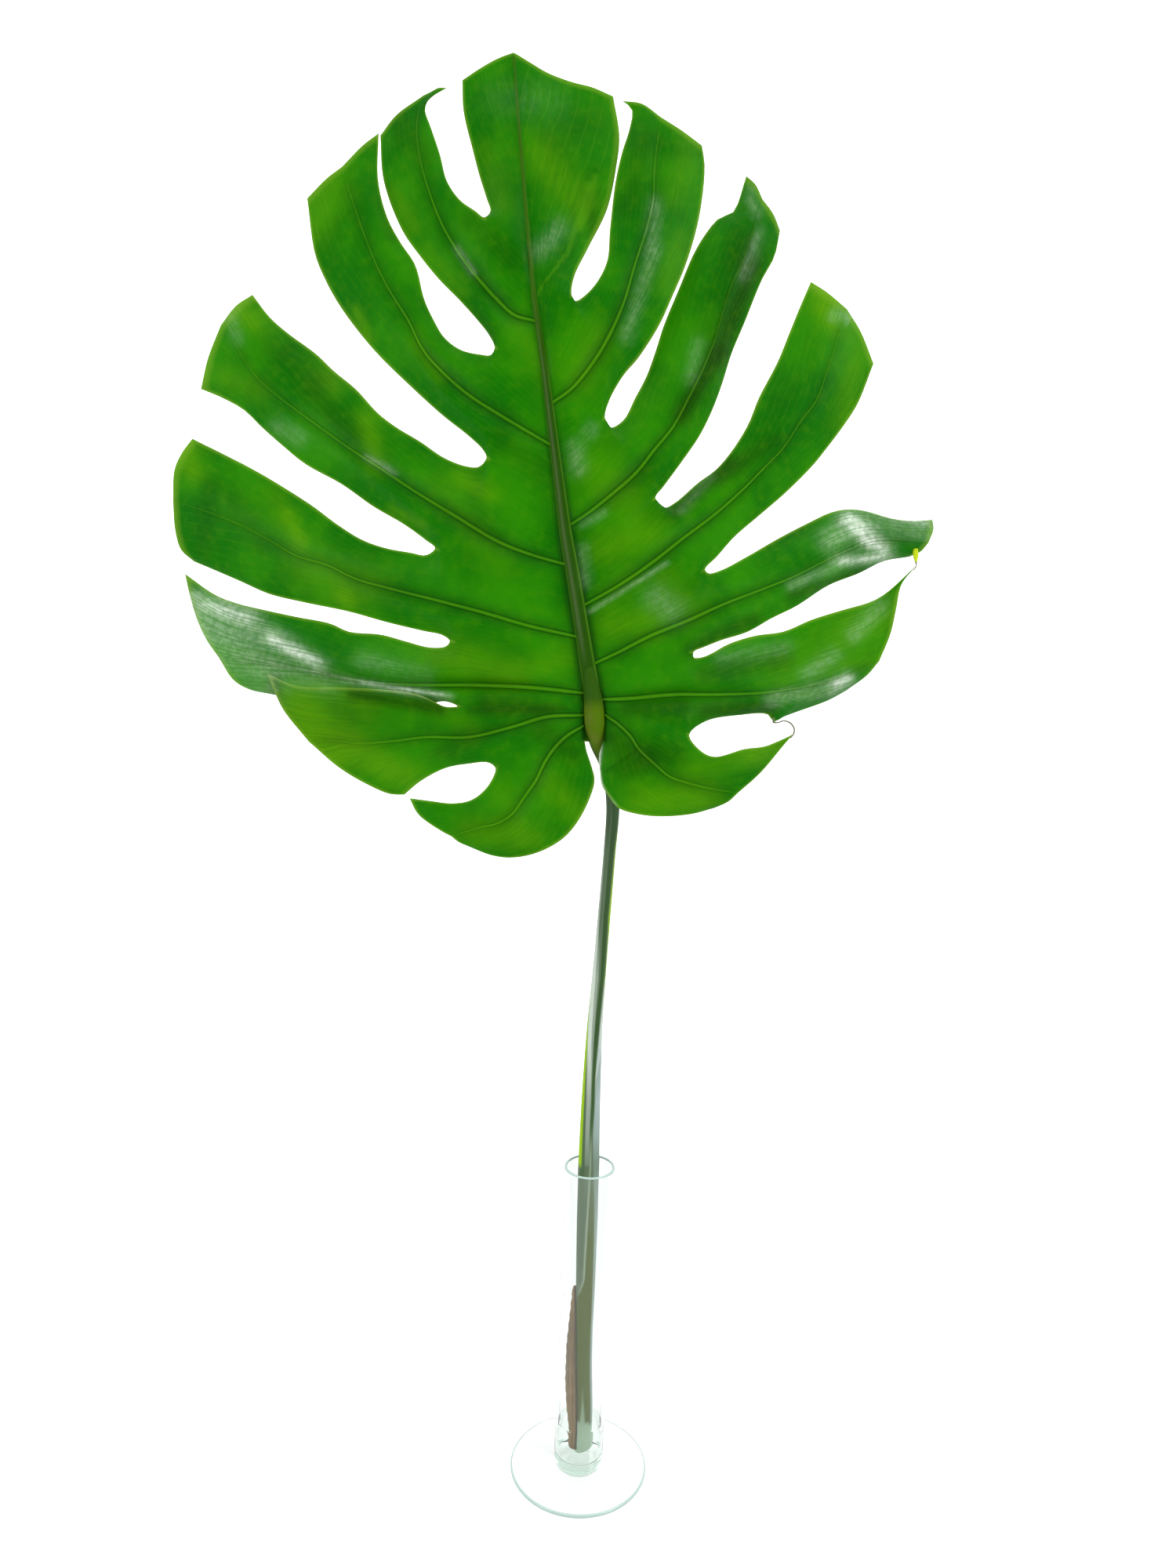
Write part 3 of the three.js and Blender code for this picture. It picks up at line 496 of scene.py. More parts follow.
rightLobes = [
    {
        "root": 660,
        "vein": None,
        "below": [(-27, 696), (-20, 711), (-11, 730), (-7, 751), (-6, 766), (-10, 785)],
        "endBelow": [(-52, 799), (-44, 795), (-31, 791), (-21, 789)],
        "belowLift": (5, 10),
    },
    {
        "root": 632,
        "vein": [
            (-26, 640), (-15, 654), (-7, 668), (0, 685), (5, 704), (10, 721), (13, 736), (13, 752),
            (15, 776),
        ],
        "above": [
            (-26, 684), (-17, 691), (-10, 704), (-9, 720), (-7, 744), (-4, 759), (-1, 769), (0, 779),
            (-5, 783),
        ],
        "below": [
            (-6, 634), (1, 647), (8.4, 656), (18.8, 673), (25.6, 689), (31.8, 705), (37.4, 728), (39, 753),
            (37, 763),
        ],
        "endAbove": [(5, 782)],
        "endBelow": [(26, 770)],
        "depth": (25, 48),
        "aboveLift": (2, 5),
        "belowLift": (-1, 3),
    },
    {
        "root": 568,
        "vein": [
            (-15, 575), (-3, 585), (10, 597), (19, 609), (29, 622), (37, 638), (43, 651), (49, 667),
            (56, 694), (62, 708), (70, 738),
        ],
        "above": [
            (-5, 620), (2, 624), (8, 636), (13.4, 647), (18, 661), (21.4, 673), (29, 693), (35.6, 710),
            (42, 721), (48, 728), (55, 731), (61, 749),
        ],
        "below": [
            (25, 590), (34, 603), (43, 617), (49, 630), (54, 645), (58, 660), (64, 676), (72, 698),
            (78, 710), (80, 723),
        ],
        "endAbove": [(66, 745)],
        "endBelow": [(76, 731)],
        "depth": (24, 54),
        "aboveLift": (6, 7),
        "belowLift": (3, 9),
    },
    {
        "root": 525,
        "vein": [
            (2, 536), (20, 549), (38, 564), (53, 576), (67, 589), (80, 603), (89, 613), (98, 628),
            (105, 638), (110, 654), (118, 685),
        ],
        "above": [
            (26, 579), (32, 582), (44, 593), (53, 600), (61, 610), (69, 624), (74, 638), (83, 657),
            (88, 671), (93, 685), (98, 698),
        ],
        "below": [
            (56, 554), (65, 565), (78, 577), (91, 589), (105, 604), (111, 612), (120, 625), (127, 637),
            (134, 658),
        ],
        "endAbove": [(107, 693)],
        "endBelow": [(126, 674)],
        "depth": (20, 56),
        "aboveLift": (1, 4),
        "belowLift": (2, 6),
    },
    {
        "root": 493,
        "vein": [
            (4, 500), (22, 510), (42, 519), (60, 528), (81, 537), (97, 544), (110, 551), (123, 558),
            (143, 566), (171, 566),
        ],
        "above": [
            (52, 545), (59, 547), (73, 555), (89, 565), (105, 574), (117, 580), (127, 582), (137, 581),
            (149, 578), (161, 577), (172, 578),
        ],
        "below": [
            (52, 505), (61, 509), (75, 514), (88, 522), (101, 529), (118, 541), (134, 548), (147, 555),
            (161, 558),
        ],
        "endAbove": [(173, 573)],
        "endBelow": [(167, 561)],
        "depth": (19, 58),
        "aboveLift": (3, 10),
        "belowLift": (2, 6),
    },
    {
        "root": 473,
        "vein": [(12, 475), (36, 478), (61, 479), (87, 481), (104, 484), (127, 490), (149, 501)],
        "above": [
            (46, 499), (50, 499), (55, 501), (65, 507), (79, 512), (95, 515), (110, 522), (127, 528),
            (142, 533), (150, 538), (165, 553),
        ],
        "below": [
            (55, 464), (73, 468), (89, 469), (92.5, 465), (97.8, 467.9), (105, 471), (122, 478), (132, 484),
        ],
        "endAbove": [(154, 516), (156, 529), (158, 543)],
        "endBelow": [(143, 493)],
        "depth": (16, 44),
        "aboveLift": (2, 7),
        "belowLift": (3, 9),
    },
    {
        "root": 465,
        "vein": [(5, 461), (13, 454), (18, 447), (27, 439), (36, 432), (45, 429), (59, 426), (75, 424)],
        "above": [
            (53, 447), (61, 444), (77, 449), (88.5, 451), (95.9, 454.2), (102.4, 457.5), (103.9, 458.4),
        ],
        "below": [
            (-4, 442), (-3, 433), (-2, 426), (2, 420), (8, 413), (18, 410), (31, 409), (49, 411), (62, 415),
        ],
        "endAbove": [(87, 436), (99, 452)],
        "endBelow": [(70, 419)],
        "depth": (-10, -6),
        "aboveLift": (2, 8),
        "belowLift": (-1, 2),
    },
]

rightPartings = [
    {"root": 660, "line": [(-36, 672), (-28, 687)], "rows": 3},
    {"root": 597, "line": [(-18, 609), (-8, 625)], "rows": 3},
    {"root": 544, "line": [(-5, 555), (9, 569), (21, 584)], "rows": 4},
    {"root": 508, "line": [(9, 521), (31, 533), (50, 547)], "rows": 4},
    {"root": 482, "line": [(18, 492), (46, 502)], "rows": 4},
    {"root": 469, "line": [(22, 465), (46, 456)], "rows": 4},
    {"root": 450, "line": [], "rows": 0},
]

# A side vein that isn't the middle of a lobe
extraVeins = [
    [(-46, 687), (-42, 694), (-34, 704), (-26, 720), (-21, 735), (-19, 746)],
]


midribPlace = [(z, x) for x, z in midribLine]


def ribEdge(height, side, share=1.0):  # a point across the midrib, from its middle at 0 to its edge at 1
    span = bladeShape["leanSpan"]
    lean = (tableValue(midribPlace, height + span) - tableValue(midribPlace, height - span)) / (2 * span)
    half = tableValue(midribHalfWidth, height) * share
    return [tableValue(midribPlace, height) + side * half, height - side * half * lean]


def rowShares():  # share of the way out at each fine row, and the fine row of each coarse one
    shares, fineRow = [0.0], [0]
    for row in range(1, bladeShape["rows"] + 1):
        share = blendValue(bladeShape["firstRowShare"], 1, (row - 1) / (bladeShape["rows"] - 1))
        splits = bladeShape["firstRowSplits"] if row == 1 else bladeShape["rowSplits"]
        shares += [blendValue(shares[-1], share, (i + 1) / splits) for i in range(splits)]
        fineRow.append(len(shares) - 1)
    return shares, fineRow


shares, fineRow = rowShares()
lastRow = len(shares) - 1
columns = bladeShape["columns"]
acrossSteps = [(column / columns) ** bladeShape["columnCrowding"] for column in range(columns + 1)]
bladePoints, bladeMarks, bladeFaces = [], [], []


def seenAt(x, z, depth):
    viewing = np.array(bladeShape["viewingPoint"])
    return viewing + (np.array([x, 0, z]) - viewing) * (depth - viewing[1]) / -viewing[1]


def addPoint(x, z, depth, across=0.0, along=0.0, rib=0.0, height=0.0):
    bladePoints.append(seenAt(x, z, depth))
    bladeMarks.append({"drawn": (x, z), "across": across, "along": along, "rib": rib, "height": height})
    return len(bladePoints) - 1


def addFace(*corners):
    if len(set(corners)) == 3:
        bladeFaces.append(corners)


def addCell(a, b, c, d):
    one, two, three, four = (bladePoints[i] for i in (a, b, c, d))
    if np.sum((one - three) ** 2) <= np.sum((two - four) ** 2):
        addFace(a, b, c)
        addFace(a, c, d)
    else:
        addFace(a, b, d)
        addFace(b, c, d)


def ribFoot(height, side, across=0.0):
    x, z = ribEdge(height, side)
    return addPoint(x, z, tableValue(midribDepth, height), across=across, rib=1.0, height=height)


tipX, tipZ = midribLine[-1]
tipIndex = addPoint(tipX, tipZ, tableValue(midribDepth, tipZ), rib=1.0, height=tipZ, along=1.0)


def buildVein(lobe, foot, side):
    rootDepth = tableValue(midribDepth, lobe["root"])
    footX, footZ = ribEdge(lobe["root"], side)
    line = lobe["vein"] and smoothLine([(footX, footZ), *lobe["vein"]])
    column = [{"index": foot, "depth": rootDepth, "x": footX, "z": footZ}]
    for row in range(1, lastRow + 1):
        share = shares[row]
        if line:
            x, z = pointAlong(line, share)
            depth = bentValue(rootDepth, *lobe["depth"], share)
            index = addPoint(x, z, depth, along=share)
        else:
            height = blendValue(lobe["root"], tipZ, share)
            x, z = ribEdge(height, side)
            depth = tableValue(midribDepth, z)
            index = tipIndex if row == lastRow else addPoint(x, z, depth, along=share, rib=1.0, height=height)
        column.append({"index": index, "depth": depth, "x": x, "z": z})
    return column


def buildParting(parting, foot, veinBefore, veinAfter, side):
    footX, footZ = ribEdge(parting["root"], side)
    column = [{"index": foot, "depth": tableValue(midribDepth, parting["root"]), "x": footX, "z": footZ}]
    if not parting["rows"]:
        return column
    line = smoothLine([(footX, footZ), *parting["line"]])
    endRow = fineRow[parting["rows"]]
    for row in range(1, endRow + 1):
        along = shares[row] / shares[endRow]
        x, z = pointAlong(line, along)
        between = (veinBefore[row]["depth"] + veinAfter[row]["depth"]) / 2
        depth = between - bladeShape["pleatHeight"] * math.sin(math.pi / 2 * along)
        index = addPoint(x, z, depth, across=1.0, along=shares[row])
        column.append({"index": index, "depth": depth, "x": x, "z": z})
    return column


def buildHalf(lobe, number, part, vein, parting, partingRoot, beyond, side, turn):
    joinRow = len(parting) - 1
    join, joinShare = parting[joinRow], shares[joinRow]
    crowding = bladeShape["cutEndCrowding"] if joinRow > 0 else 1
    edgeLine = smoothLine([(join["x"], join["z"]), *lobe[part]], before=beyond if joinRow > 0 else None)
    lift = lobe[part + "Lift"]
    border = list(parting)
    for row in range(joinRow + 1, lastRow + 1):
        along = ((shares[row] - joinShare) / (1 - joinShare)) ** crowding
        x, z = pointAlong(edgeLine, along)
        phase = bladeShape["waveTurns"] * along + 2 * number + turn
        wave = bladeShape["waveHeight"] * math.sin(phase) * math.sin(math.pi * along)
        depth = vein[row]["depth"] + bentValue(join["depth"] - vein[joinRow]["depth"], *lift, along) + wave
        index = addPoint(x, z, depth, across=1.0, along=shares[row])
        border.append({"index": index, "depth": depth, "x": x, "z": z})
    tip, corner = vein[lastRow], border[lastRow]
    end = lobe["end" + part[0].upper() + part[1:]]
    endLine = smoothLine([(tip["x"], tip["z"]), *end, (corner["x"], corner["z"])])
    endPoints = [pointAlong(endLine, across) for across in acrossSteps]
    grid = []
    for row, share in enumerate(shares):
        line = []
        for across, ended in zip(acrossSteps, endPoints):
            if across == 0:
                line.append(vein[row]["index"])
            elif across == 1:
                line.append(border[row]["index"])
            elif row == 0 and vein[0]["index"] == border[0]["index"]:
                line.append(vein[0]["index"])
            elif row == 0:
                line.append(ribFoot(blendValue(lobe["root"], partingRoot, across), side, across))
            else:
                fade = share ** bladeShape["endShapeFade"]
                x = blendValue(vein[row]["x"], border[row]["x"], across)
                z = blendValue(vein[row]["z"], border[row]["z"], across)
                x += fade * (ended[0] - blendValue(tip["x"], corner["x"], across))
                z += fade * (ended[1] - blendValue(tip["z"], corner["z"], across))
                swell = bladeShape["swellHeight"] * math.sin(math.pi * across)
                swell *= min(1, share * bladeShape["swellRise"])
                rounded = (across + math.sin(math.pi / 2 * across)) / 2
                depth = blendValue(vein[row]["depth"], border[row]["depth"], rounded) - swell
                line.append(addPoint(x, z, depth, across=across, along=share))
        grid.append(line)
    for row in range(lastRow):
        for step in range(len(acrossSteps) - 1):
            corners = [grid[row][step], grid[row + 1][step], grid[row + 1][step + 1], grid[row][step + 1]]
            addCell(*(corners if side * turn > 0 else corners[::-1]))
    return grid[0]


def buildSide(lobes, partings, side):
    feet = [ribFoot(parting["root"], side) for parting in partings]
    veins = [buildVein(lobe, ribFoot(lobe["root"], side) if lobe["vein"] else feet[i], side)
             for i, lobe in enumerate(lobes)]
    partLines = [buildParting(parting, feet[i], veins[i], veins[min(i + 1, len(veins) - 1)], side)
                 for i, parting in enumerate(partings)]
    ribRow = []
    for i, lobe in enumerate(lobes):
        if lobe["vein"]:
            beyond = lobes[i - 1]["below"][0]
            before, root = partLines[i - 1], partings[i - 1]["root"]
            ribRow += buildHalf(lobe, i, "above", veins[i], before, root, beyond, side, 1)[::-1]
        else:
            ribRow += [point["index"] for point in veins[i][::-1]]
        beyond = lobes[i + 1]["above"][0] if i + 1 < len(lobes) else None
        ribRow += buildHalf(lobe, i, "below", veins[i], partLines[i], partings[i]["root"], beyond, side, -1)
    return [point for i, point in enumerate(ribRow) if i == 0 or point != ribRow[i - 1]]


def kneeShare(height):
    return smoothStep(bladeShape["kneeTop"], bladeShape["kneeTop"] - bladeShape["kneeFade"], height)


def buildRib(ribRow, side):  # columns of the midrib's band, from its edge to near its middle
    columns = [ribRow]
    for share in bladeShape["ribColumns"]:
        column = [tipIndex]
        for point in ribRow[1:]:
            height = bladeMarks[point]["height"]
            x, z = ribEdge(height, side, 1 - share)
            along = (height - midribLine[0][1]) / (tipZ - midribLine[0][1])
            cup = bladeShape["kneeCup"] * kneeShare(height) * math.sqrt(1 - (1 - share) ** 2)
            depth = tableValue(midribDepth, height) + cup
            column.append(addPoint(x, z, depth, side * (1 - share), along, 1 - share, height))
        columns.append(column)
    for outer, inner in zip(columns, columns[1:]):
        for i in range(len(ribRow) - 1):
            corners = [outer[i], outer[i + 1], inner[i + 1], inner[i]]
            addCell(*(corners if side < 0 else corners[::-1]))
    return columns[-1]


def zipRows(leftRow, rightRow):  # triangles between two rows of points that both run down from the tip
    i = j = 0
    while i + 1 < len(leftRow) or j + 1 < len(rightRow):
        leftNext = bladePoints[leftRow[i + 1]][2] if i + 1 < len(leftRow) else -1
        rightNext = bladePoints[rightRow[j + 1]][2] if j + 1 < len(rightRow) else -1
        if leftNext >= rightNext:
            addFace(leftRow[i], leftRow[i + 1], rightRow[j])
            i += 1
        else:
            addFace(leftRow[i], rightRow[j + 1], rightRow[j])
            j += 1


leftRib = buildRib(buildSide(leftLobes, leftPartings, -1), -1)
rightRib = buildRib(buildSide(rightLobes, rightPartings, 1), 1)
zipRows(leftRib, rightRib)
print("blade drawn,", len(bladePoints), "points")


def drawnTree():  # finds the blade's point that is drawn nearest to [x, z]
    tree = KDTree(len(bladePoints))
    for i, marks in enumerate(bladeMarks):
        x, z = marks["drawn"]
        tree.insert((x, 0, z), i)
    tree.balance()
    return tree


def veinTree():  # points along every side vein, with the vein's size there
    samples = []
    for lobes, side in ((leftLobes, -1), (rightLobes, 1)):
        for lobe in lobes:
            if lobe["vein"]:
                rootDepth = tableValue(midribDepth, lobe["root"])
                line = smoothLine([ribEdge(lobe["root"], side), *lobe["vein"]], 60)
                for (x, z), share in zip(*line):
                    size = blendValue(1, bladeShape["veinTipSize"], share) * smoothStep(1.0, 0.93, share)
                    samples.append((seenAt(x, z, bentValue(rootDepth, *lobe["depth"], share)), size))
    drawn = drawnTree()
    for points in extraVeins:
        for x, z in smoothLine(points, 60)[0]:
            samples.append((bladePoints[drawn.find((x, 0, z))[1]], bladeShape["extraVeinSize"]))
    tree = KDTree(len(samples))
    for i, (place, size) in enumerate(samples):
        tree.insert(place, i)
    tree.balance()
    return tree, [size for place, size in samples]


def surfaceNormals(points, faces):
    points, faces = np.array(points), np.array(faces)
    one, two, three = (points[faces[:, i]] for i in range(3))
    weighted = np.cross(two - one, three - one)
    normals = np.zeros_like(points)
    for i in range(3):
        np.add.at(normals, faces[:, i], weighted)
    return normals / np.maximum(1e-12, np.linalg.norm(normals, axis=1))[:, None]


def openEdges(faces):  # directed edges with no neighbour
    directed = {(face[i], face[(i + 1) % 3]) for face in faces for i in range(3)}
    return [(a, b) for a, b in directed if (b, a) not in directed]


def marginTree(margin):
    marginPoints = sorted({point for edge in margin for point in edge})
    tree = KDTree(len(marginPoints))
    for point in marginPoints:
        tree.insert(bladePoints[point], point)
    tree.balance()
    return tree


def markVeins(marks, fromVein, size, fromRib, ribSize):  # cords, and painted shade in the grooves and channels beside them and beside the midrib
    shape, strength = bladeShape, markShape
    slim = blendValue(shape["slimmestVein"], 1, size)
    marks["cord"] = hump(fromVein, shape["cordWidth"] * slim) * min(1, strength["cord"] * size)
    beside = hump(fromVein - shape["grooveOffset"] * slim, shape["grooveWidth"] * slim)
    channel = hump(fromVein, shape["channelWidth"])
    groove = max(strength["besideVein"] * beside, strength["inChannel"] * channel)
    nearRib = strength["nearRib"] * hump(fromRib, strength["nearRibWidth"]) * ribSize
    besideRib = hump(fromRib, shape["ribGrooveWidth"]) * ribSize
    groove = max(groove * min(1, strength["groove"] * size), strength["besideRib"] * besideRib, nearRib)
    marks["groove"] = groove * (1 - marks["cord"])
    return channel * size, besideRib


def markBand(marks, half, knee):  # the midrib's pale band, which stops beside the stalk's end
    strength, height, rib = markShape, marks["height"], marks["rib"]
    inBand = rib < 0.999 and height > 0
    marks.update(band=0.0, bandLight=0.0, bandGloss=0.0, knee=0.0)
    if not inBand:
        return False
    kneeSide = knee * smoothStep(*strength["kneeSide"], rib)
    band = smoothStep(*strength["bandEdge"], rib) * (1 - kneeSide)
    (right, rightWidth), (left, leftWidth) = strength["rightLight"], strength["leftLight"]
    leftLight = strength["leftLightShare"] * hump(marks["across"] - left, leftWidth)
    light = max(hump(marks["across"] - right, rightWidth), leftLight)
    light = max(light, strength["slimLight"] * smoothStep(*strength["slimHalf"], half))
    # a painted highlight line along the band, standing in for light shining off the midrib
    line, lineWidth = strength["highlightLine"]
    highlightMask = hump(marks["across"] - line, lineWidth) * smoothStep(*strength["highlightRise"], height)
    highlightMask *= smoothStep(*strength["highlightFall"], height)
    marks.update(band=band, bandLight=band * light, bandGloss=band * highlightMask, knee=knee * (1 - kneeSide))
    return True


def finishBlade():  # marks every point and gives the drawn sheet its front, its back and its margin's wall
    shape = bladeShape
    veins, veinSizes = veinTree()
    margin = openEdges(bladeFaces)
    nearMargin = marginTree(margin)
    fronts, backs = [], []
    for place, normal, marks in zip(bladePoints, surfaceNormals(bladePoints, bladeFaces), bladeMarks):
        near, number, fromVein = veins.find(place)
        size = veinSizes[number]
        fromMargin = nearMargin.find(place)[2]
        x, z = marks["drawn"]
        half = tableValue(midribHalfWidth, marks["height"] or z)
        fromRib = max(0.0, abs(x - tableValue(midribPlace, z)) - half) if z > shape["sheetFrom"] else 99.0
        ribSize = min(1.0, half / shape["fullRibHalf"])
        knee = kneeShare(marks["height"]) if marks["height"] > 0 else 0.0
        channel, besideRib = markVeins(marks, fromVein, size, fromRib, ribSize)
        inBand = markBand(marks, half, knee)
        marks["margin"] = hump(fromMargin, shape["marginWidth"])
        crown = (1 - marks["rib"] ** 2) ** shape["crownBend"] * (1 - knee) if inBand else 0.0
        sheet = -shape["channelDepth"] * channel
        front = shape["cordHeight"] * marks["cord"] * size
        front -= shape["ribGroove"] * besideRib * (1 - marks["cord"])
        front += shape["ribCrown"] * crown * ribSize
        back = shape["backVeinHeight"] * hump(fromVein, shape["backVeinWidth"]) * size
        back += shape["ribBack"] * crown * min(1.0, half / shape["fullBackHalf"])
        thin = hump(fromMargin, shape["thinEdgeWidth"])
        thickness = blendValue(shape["thickness"], shape["edgeThickness"], thin) / 2
        fronts.append(place + normal * (sheet + thickness + front))
        backs.append(place + normal * (sheet - thickness - back))
    start = len(fronts)
    backFaces = [(c + start, b + start, a + start) for a, b, c in bladeFaces]
    walls = [(b, a, a + start, b + start) for a, b in margin]
    return fronts + backs, list(bladeFaces), backFaces + walls


bladeAll, upperFaces, underFaces = finishBlade()
print("blade finished")

leafLook = {
    "deep": (0.003, 0.112, 0.0003),
    "fresh": (0.018, 0.165, 0.0004),
    "pale": (0.08, 0.24, 0.001),
    "shade": (0.01, 0.055, 0.0005),
    "cord": (0.075, 0.235, 0.004),
    # painted shade: darker green in the grooves beside the veins and the midrib
    "groove": (0.003, 0.045, 0.0005),
    "band": (0.022, 0.095, 0.002),
    "bandLight": (0.07, 0.22, 0.008),
    # painted highlight on the midrib's band
    "bandGloss": (0.08, 0.14, 0.04),
    "knee": (0.034, 0.115, 0.001),
    "underBand": (0.075, 0.17, 0.02),
    "margin": (0.16, 0.3, 0.02),
    # painted sheen: a pale grey-green highlight laid into the upper face's colour
    "paintedSheen": (0.4, 0.55, 0.32),
    # painted highlight, near white
    "paintedGlint": (0.95, 1.0, 0.92),
    "deepThrough": (0.014, 0.37, 0.0003),
    "lightThrough": (0.06, 0.54, 0.0003),
    "paleThrough": (0.28, 0.68, 0.0005),
    "underThrough": (0.9, 1.0, 0.7),
    "throughShare": 0.42,
    "roughness": 0.42,
    "specular": 0.04,
    "coatRoughness": 0.2,
    "waxiness": 0.01,
    "bump": 0.35,
    "patchScale": 22.0,
    "speckleScale": 190.0,
    "speckled": 0.24,
    "crinkleScale": 320.0,
    "crinkled": 0.62,
    "drift": 0.45,
    "veinShare": 0.26,
    "grainShare": 0.14,
    "paintedSheenShare": 0.72,
    "underPale": 0.35,
    "underBandShare": 0.75,
    "underThroughShare": 0.75,
    "bumpDistance": 0.0002,
}

# Patches as drawn: [x, z] to [x, z], width and strength
# Yellowish: partly the leaf's own yellow-green tone, partly painted light where more light comes through
palePatches = [
    (-182, 464, -151, 443, 12.2, 0.5), (-166, 453, -142, 443, 6.6, 0.3), (47, 435, 82, 447, 8.5, 0.35),
    (103, 694, 109, 688, 5.2, 0.9), (119, 675, 127, 663, 4.7, 0.3),
    (-173, 464, -155, 443, 9.4, 0.7), (-147, 452, -120, 428, 7.5, 0.4), (118, 495, 148, 502, 6.6, 0.3),
    (-148, 526, -145, 523, 5.6, 0.8), (-167, 538, -134, 532, 12.2, 0.4), (-179, 568, -171, 554, 3.8, 0.8),
    (-185, 577, -175, 550, 7.5, 0.3), (-136, 619, -131, 597, 6.6, 0.6), (-84, 591, -69, 583, 6.1, 0.5),
    (-158, 641, -154, 637, 6.1, 0.5), (-206, 673, -196, 668, 6.6, 0.7), (-213, 639, -194, 632, 6.6, 0.35),
    (-234, 602, -230, 589, 6.6, 0.7), (-142, 675, -135, 662, 2.8, 0.6), (-110, 659, -97, 643, 4.2, 0.4),
    (-105, 706, -86, 687, 4.7, 0.3), (-156, 735, -165, 716, 11.3, 0.4), (-122, 733, -113, 718, 5.6, 0.4),
    (-46, 755, -25, 732, 10.3, 0.5), (-75, 757, -66, 731, 6.6, 0.3), (-14, 666, -22, 646, 10.3, 0.4),
    (24, 738, 31, 765, 7.5, 0.3), (29, 715, 22, 695, 6.6, 0.3), (105, 686, 110, 679, 6.6, 0.8),
    (124, 655, 120, 627, 7.5, 0.4), (-12, 597, 6, 582, 12.2, 0.4), (-6, 556, 19, 565, 10.3, 0.5),
    (29, 540, 43, 524, 10.3, 0.4), (0, 514, 22, 519, 10.3, 0.5), (-147, 572, -135, 566, 3.8, 0.4),
    (-122, 573, -105, 565, 3.3, 0.4), (-95, 497, -60, 486, 12.2, 0.5), (-51, 486, -25, 496, 7.5, 0.4),
    (-173, 464, -155, 438, 10.3, 0.8), (-142, 439, -111, 427, 8.5, 0.6), (-160, 473, -134, 465, 8.5, 0.5),
    (-94, 467, -76, 454, 7.5, 0.3), (-75, 397, -40, 393, 9.4, 0.5), (-32, 425, -13, 408, 9.4, 0.4),
    (-58, 420, -49, 402, 7.5, 0.3), (22, 418, 57, 420, 10.3, 0.6), (82, 447, 99, 452, 6.6, 0.6),
    (134, 519, 155, 528, 12.2, 0.5), (97, 492, 122, 510, 10.3, 0.3), (-1, 531, 8, 540, 9.4, 0.3),
    (-74, 558, -61, 546, 9.4, 0.25), (-56, 669, -43, 649, 6.6, 0.3), (-96, 586, -79, 570, 9.4, 0.2),
]
# Deep green: partly the leaf's own darker tone, partly painted shade where lobes turn away, in creases and
# under other lobes
shadePatches = [
    (18, 447, 0, 433, 0.7, 0.5), (-12, 479, -10, 472, 1.9, 0.8), (-77, 465, -24, 468, 2.3, 0.4),
    (-15, 513, -13, 487, 1.9, 0.3),
    (51, 660, 67, 705, 6.1, 0.75), (33, 628, 51, 660, 5.6, 0.8), (64, 716, 60, 708, 6.6, 0.4),
    (88, 634, 102, 666, 6.6, 0.1), (32, 578, 60, 604, 5.6, 0.6), (56, 596, 85, 617, 4.7, 0.4),
    (44, 503, 78, 521, 4.7, 0.5), (53, 490, 96, 500, 6.6, 0.4), (54, 470, 89, 472, 5.6, 0.6),
    (11, 469, 41, 472, 6.6, 0.5), (-33, 467, -68, 468, 6.6, 0.5), (-94, 465, -142, 472, 3.8, 0.7),
    (-76, 450, -94, 441, 6.6, 0.3), (-186, 479, -186, 464, 3.8, 0.5), (-121, 475, -86, 467, 2.8, 0.5),
    (-7, 581, 14, 598, 6.6, 0.3), (-4, 614, 16, 647, 9.4, 0.2), (-63, 612, -41, 596, 8.5, 0.25),
    (-96, 574, -62, 558, 4.7, 0.3), (-207, 574, -194, 553, 7.5, 0.3), (-165, 633, -143, 609, 7.5, 0.35),
    (-185, 656, -165, 641, 9.4, 0.3), (-124, 775, -108, 752, 6.6, 0.3), (-128, 736, -123, 713, 3.8, 0.3),
    (-98, 683, -73, 664, 6.6, 0.4), (-82, 723, -61, 704, 6.6, 0.3), (-21, 736, -14, 709, 3.8, 0.4),
    (-42, 762, -18, 774, 8.5, 0.2), (6, 764, 0, 733, 7.5, 0.3), (58, 720, 44, 672, 6.6, 0.2),
    (87, 642, 65, 600, 7.5, 0.1), (98, 535, 136, 549, 3.8, 0.5), (142, 586, 155, 583, 3.8, 0.3),
    (-2, 453, 21, 445, 9.4, 0.5), (12, 436, 38, 446, 7.5, 0.4), (-37, 456, -19, 443, 7.5, 0.4),
    (-220, 582, -225, 548, 5.6, 0.25), (84, 564, 108, 577, 5.6, 0.3), (-151, 421, -120, 417, 1.9, 0.3),
]
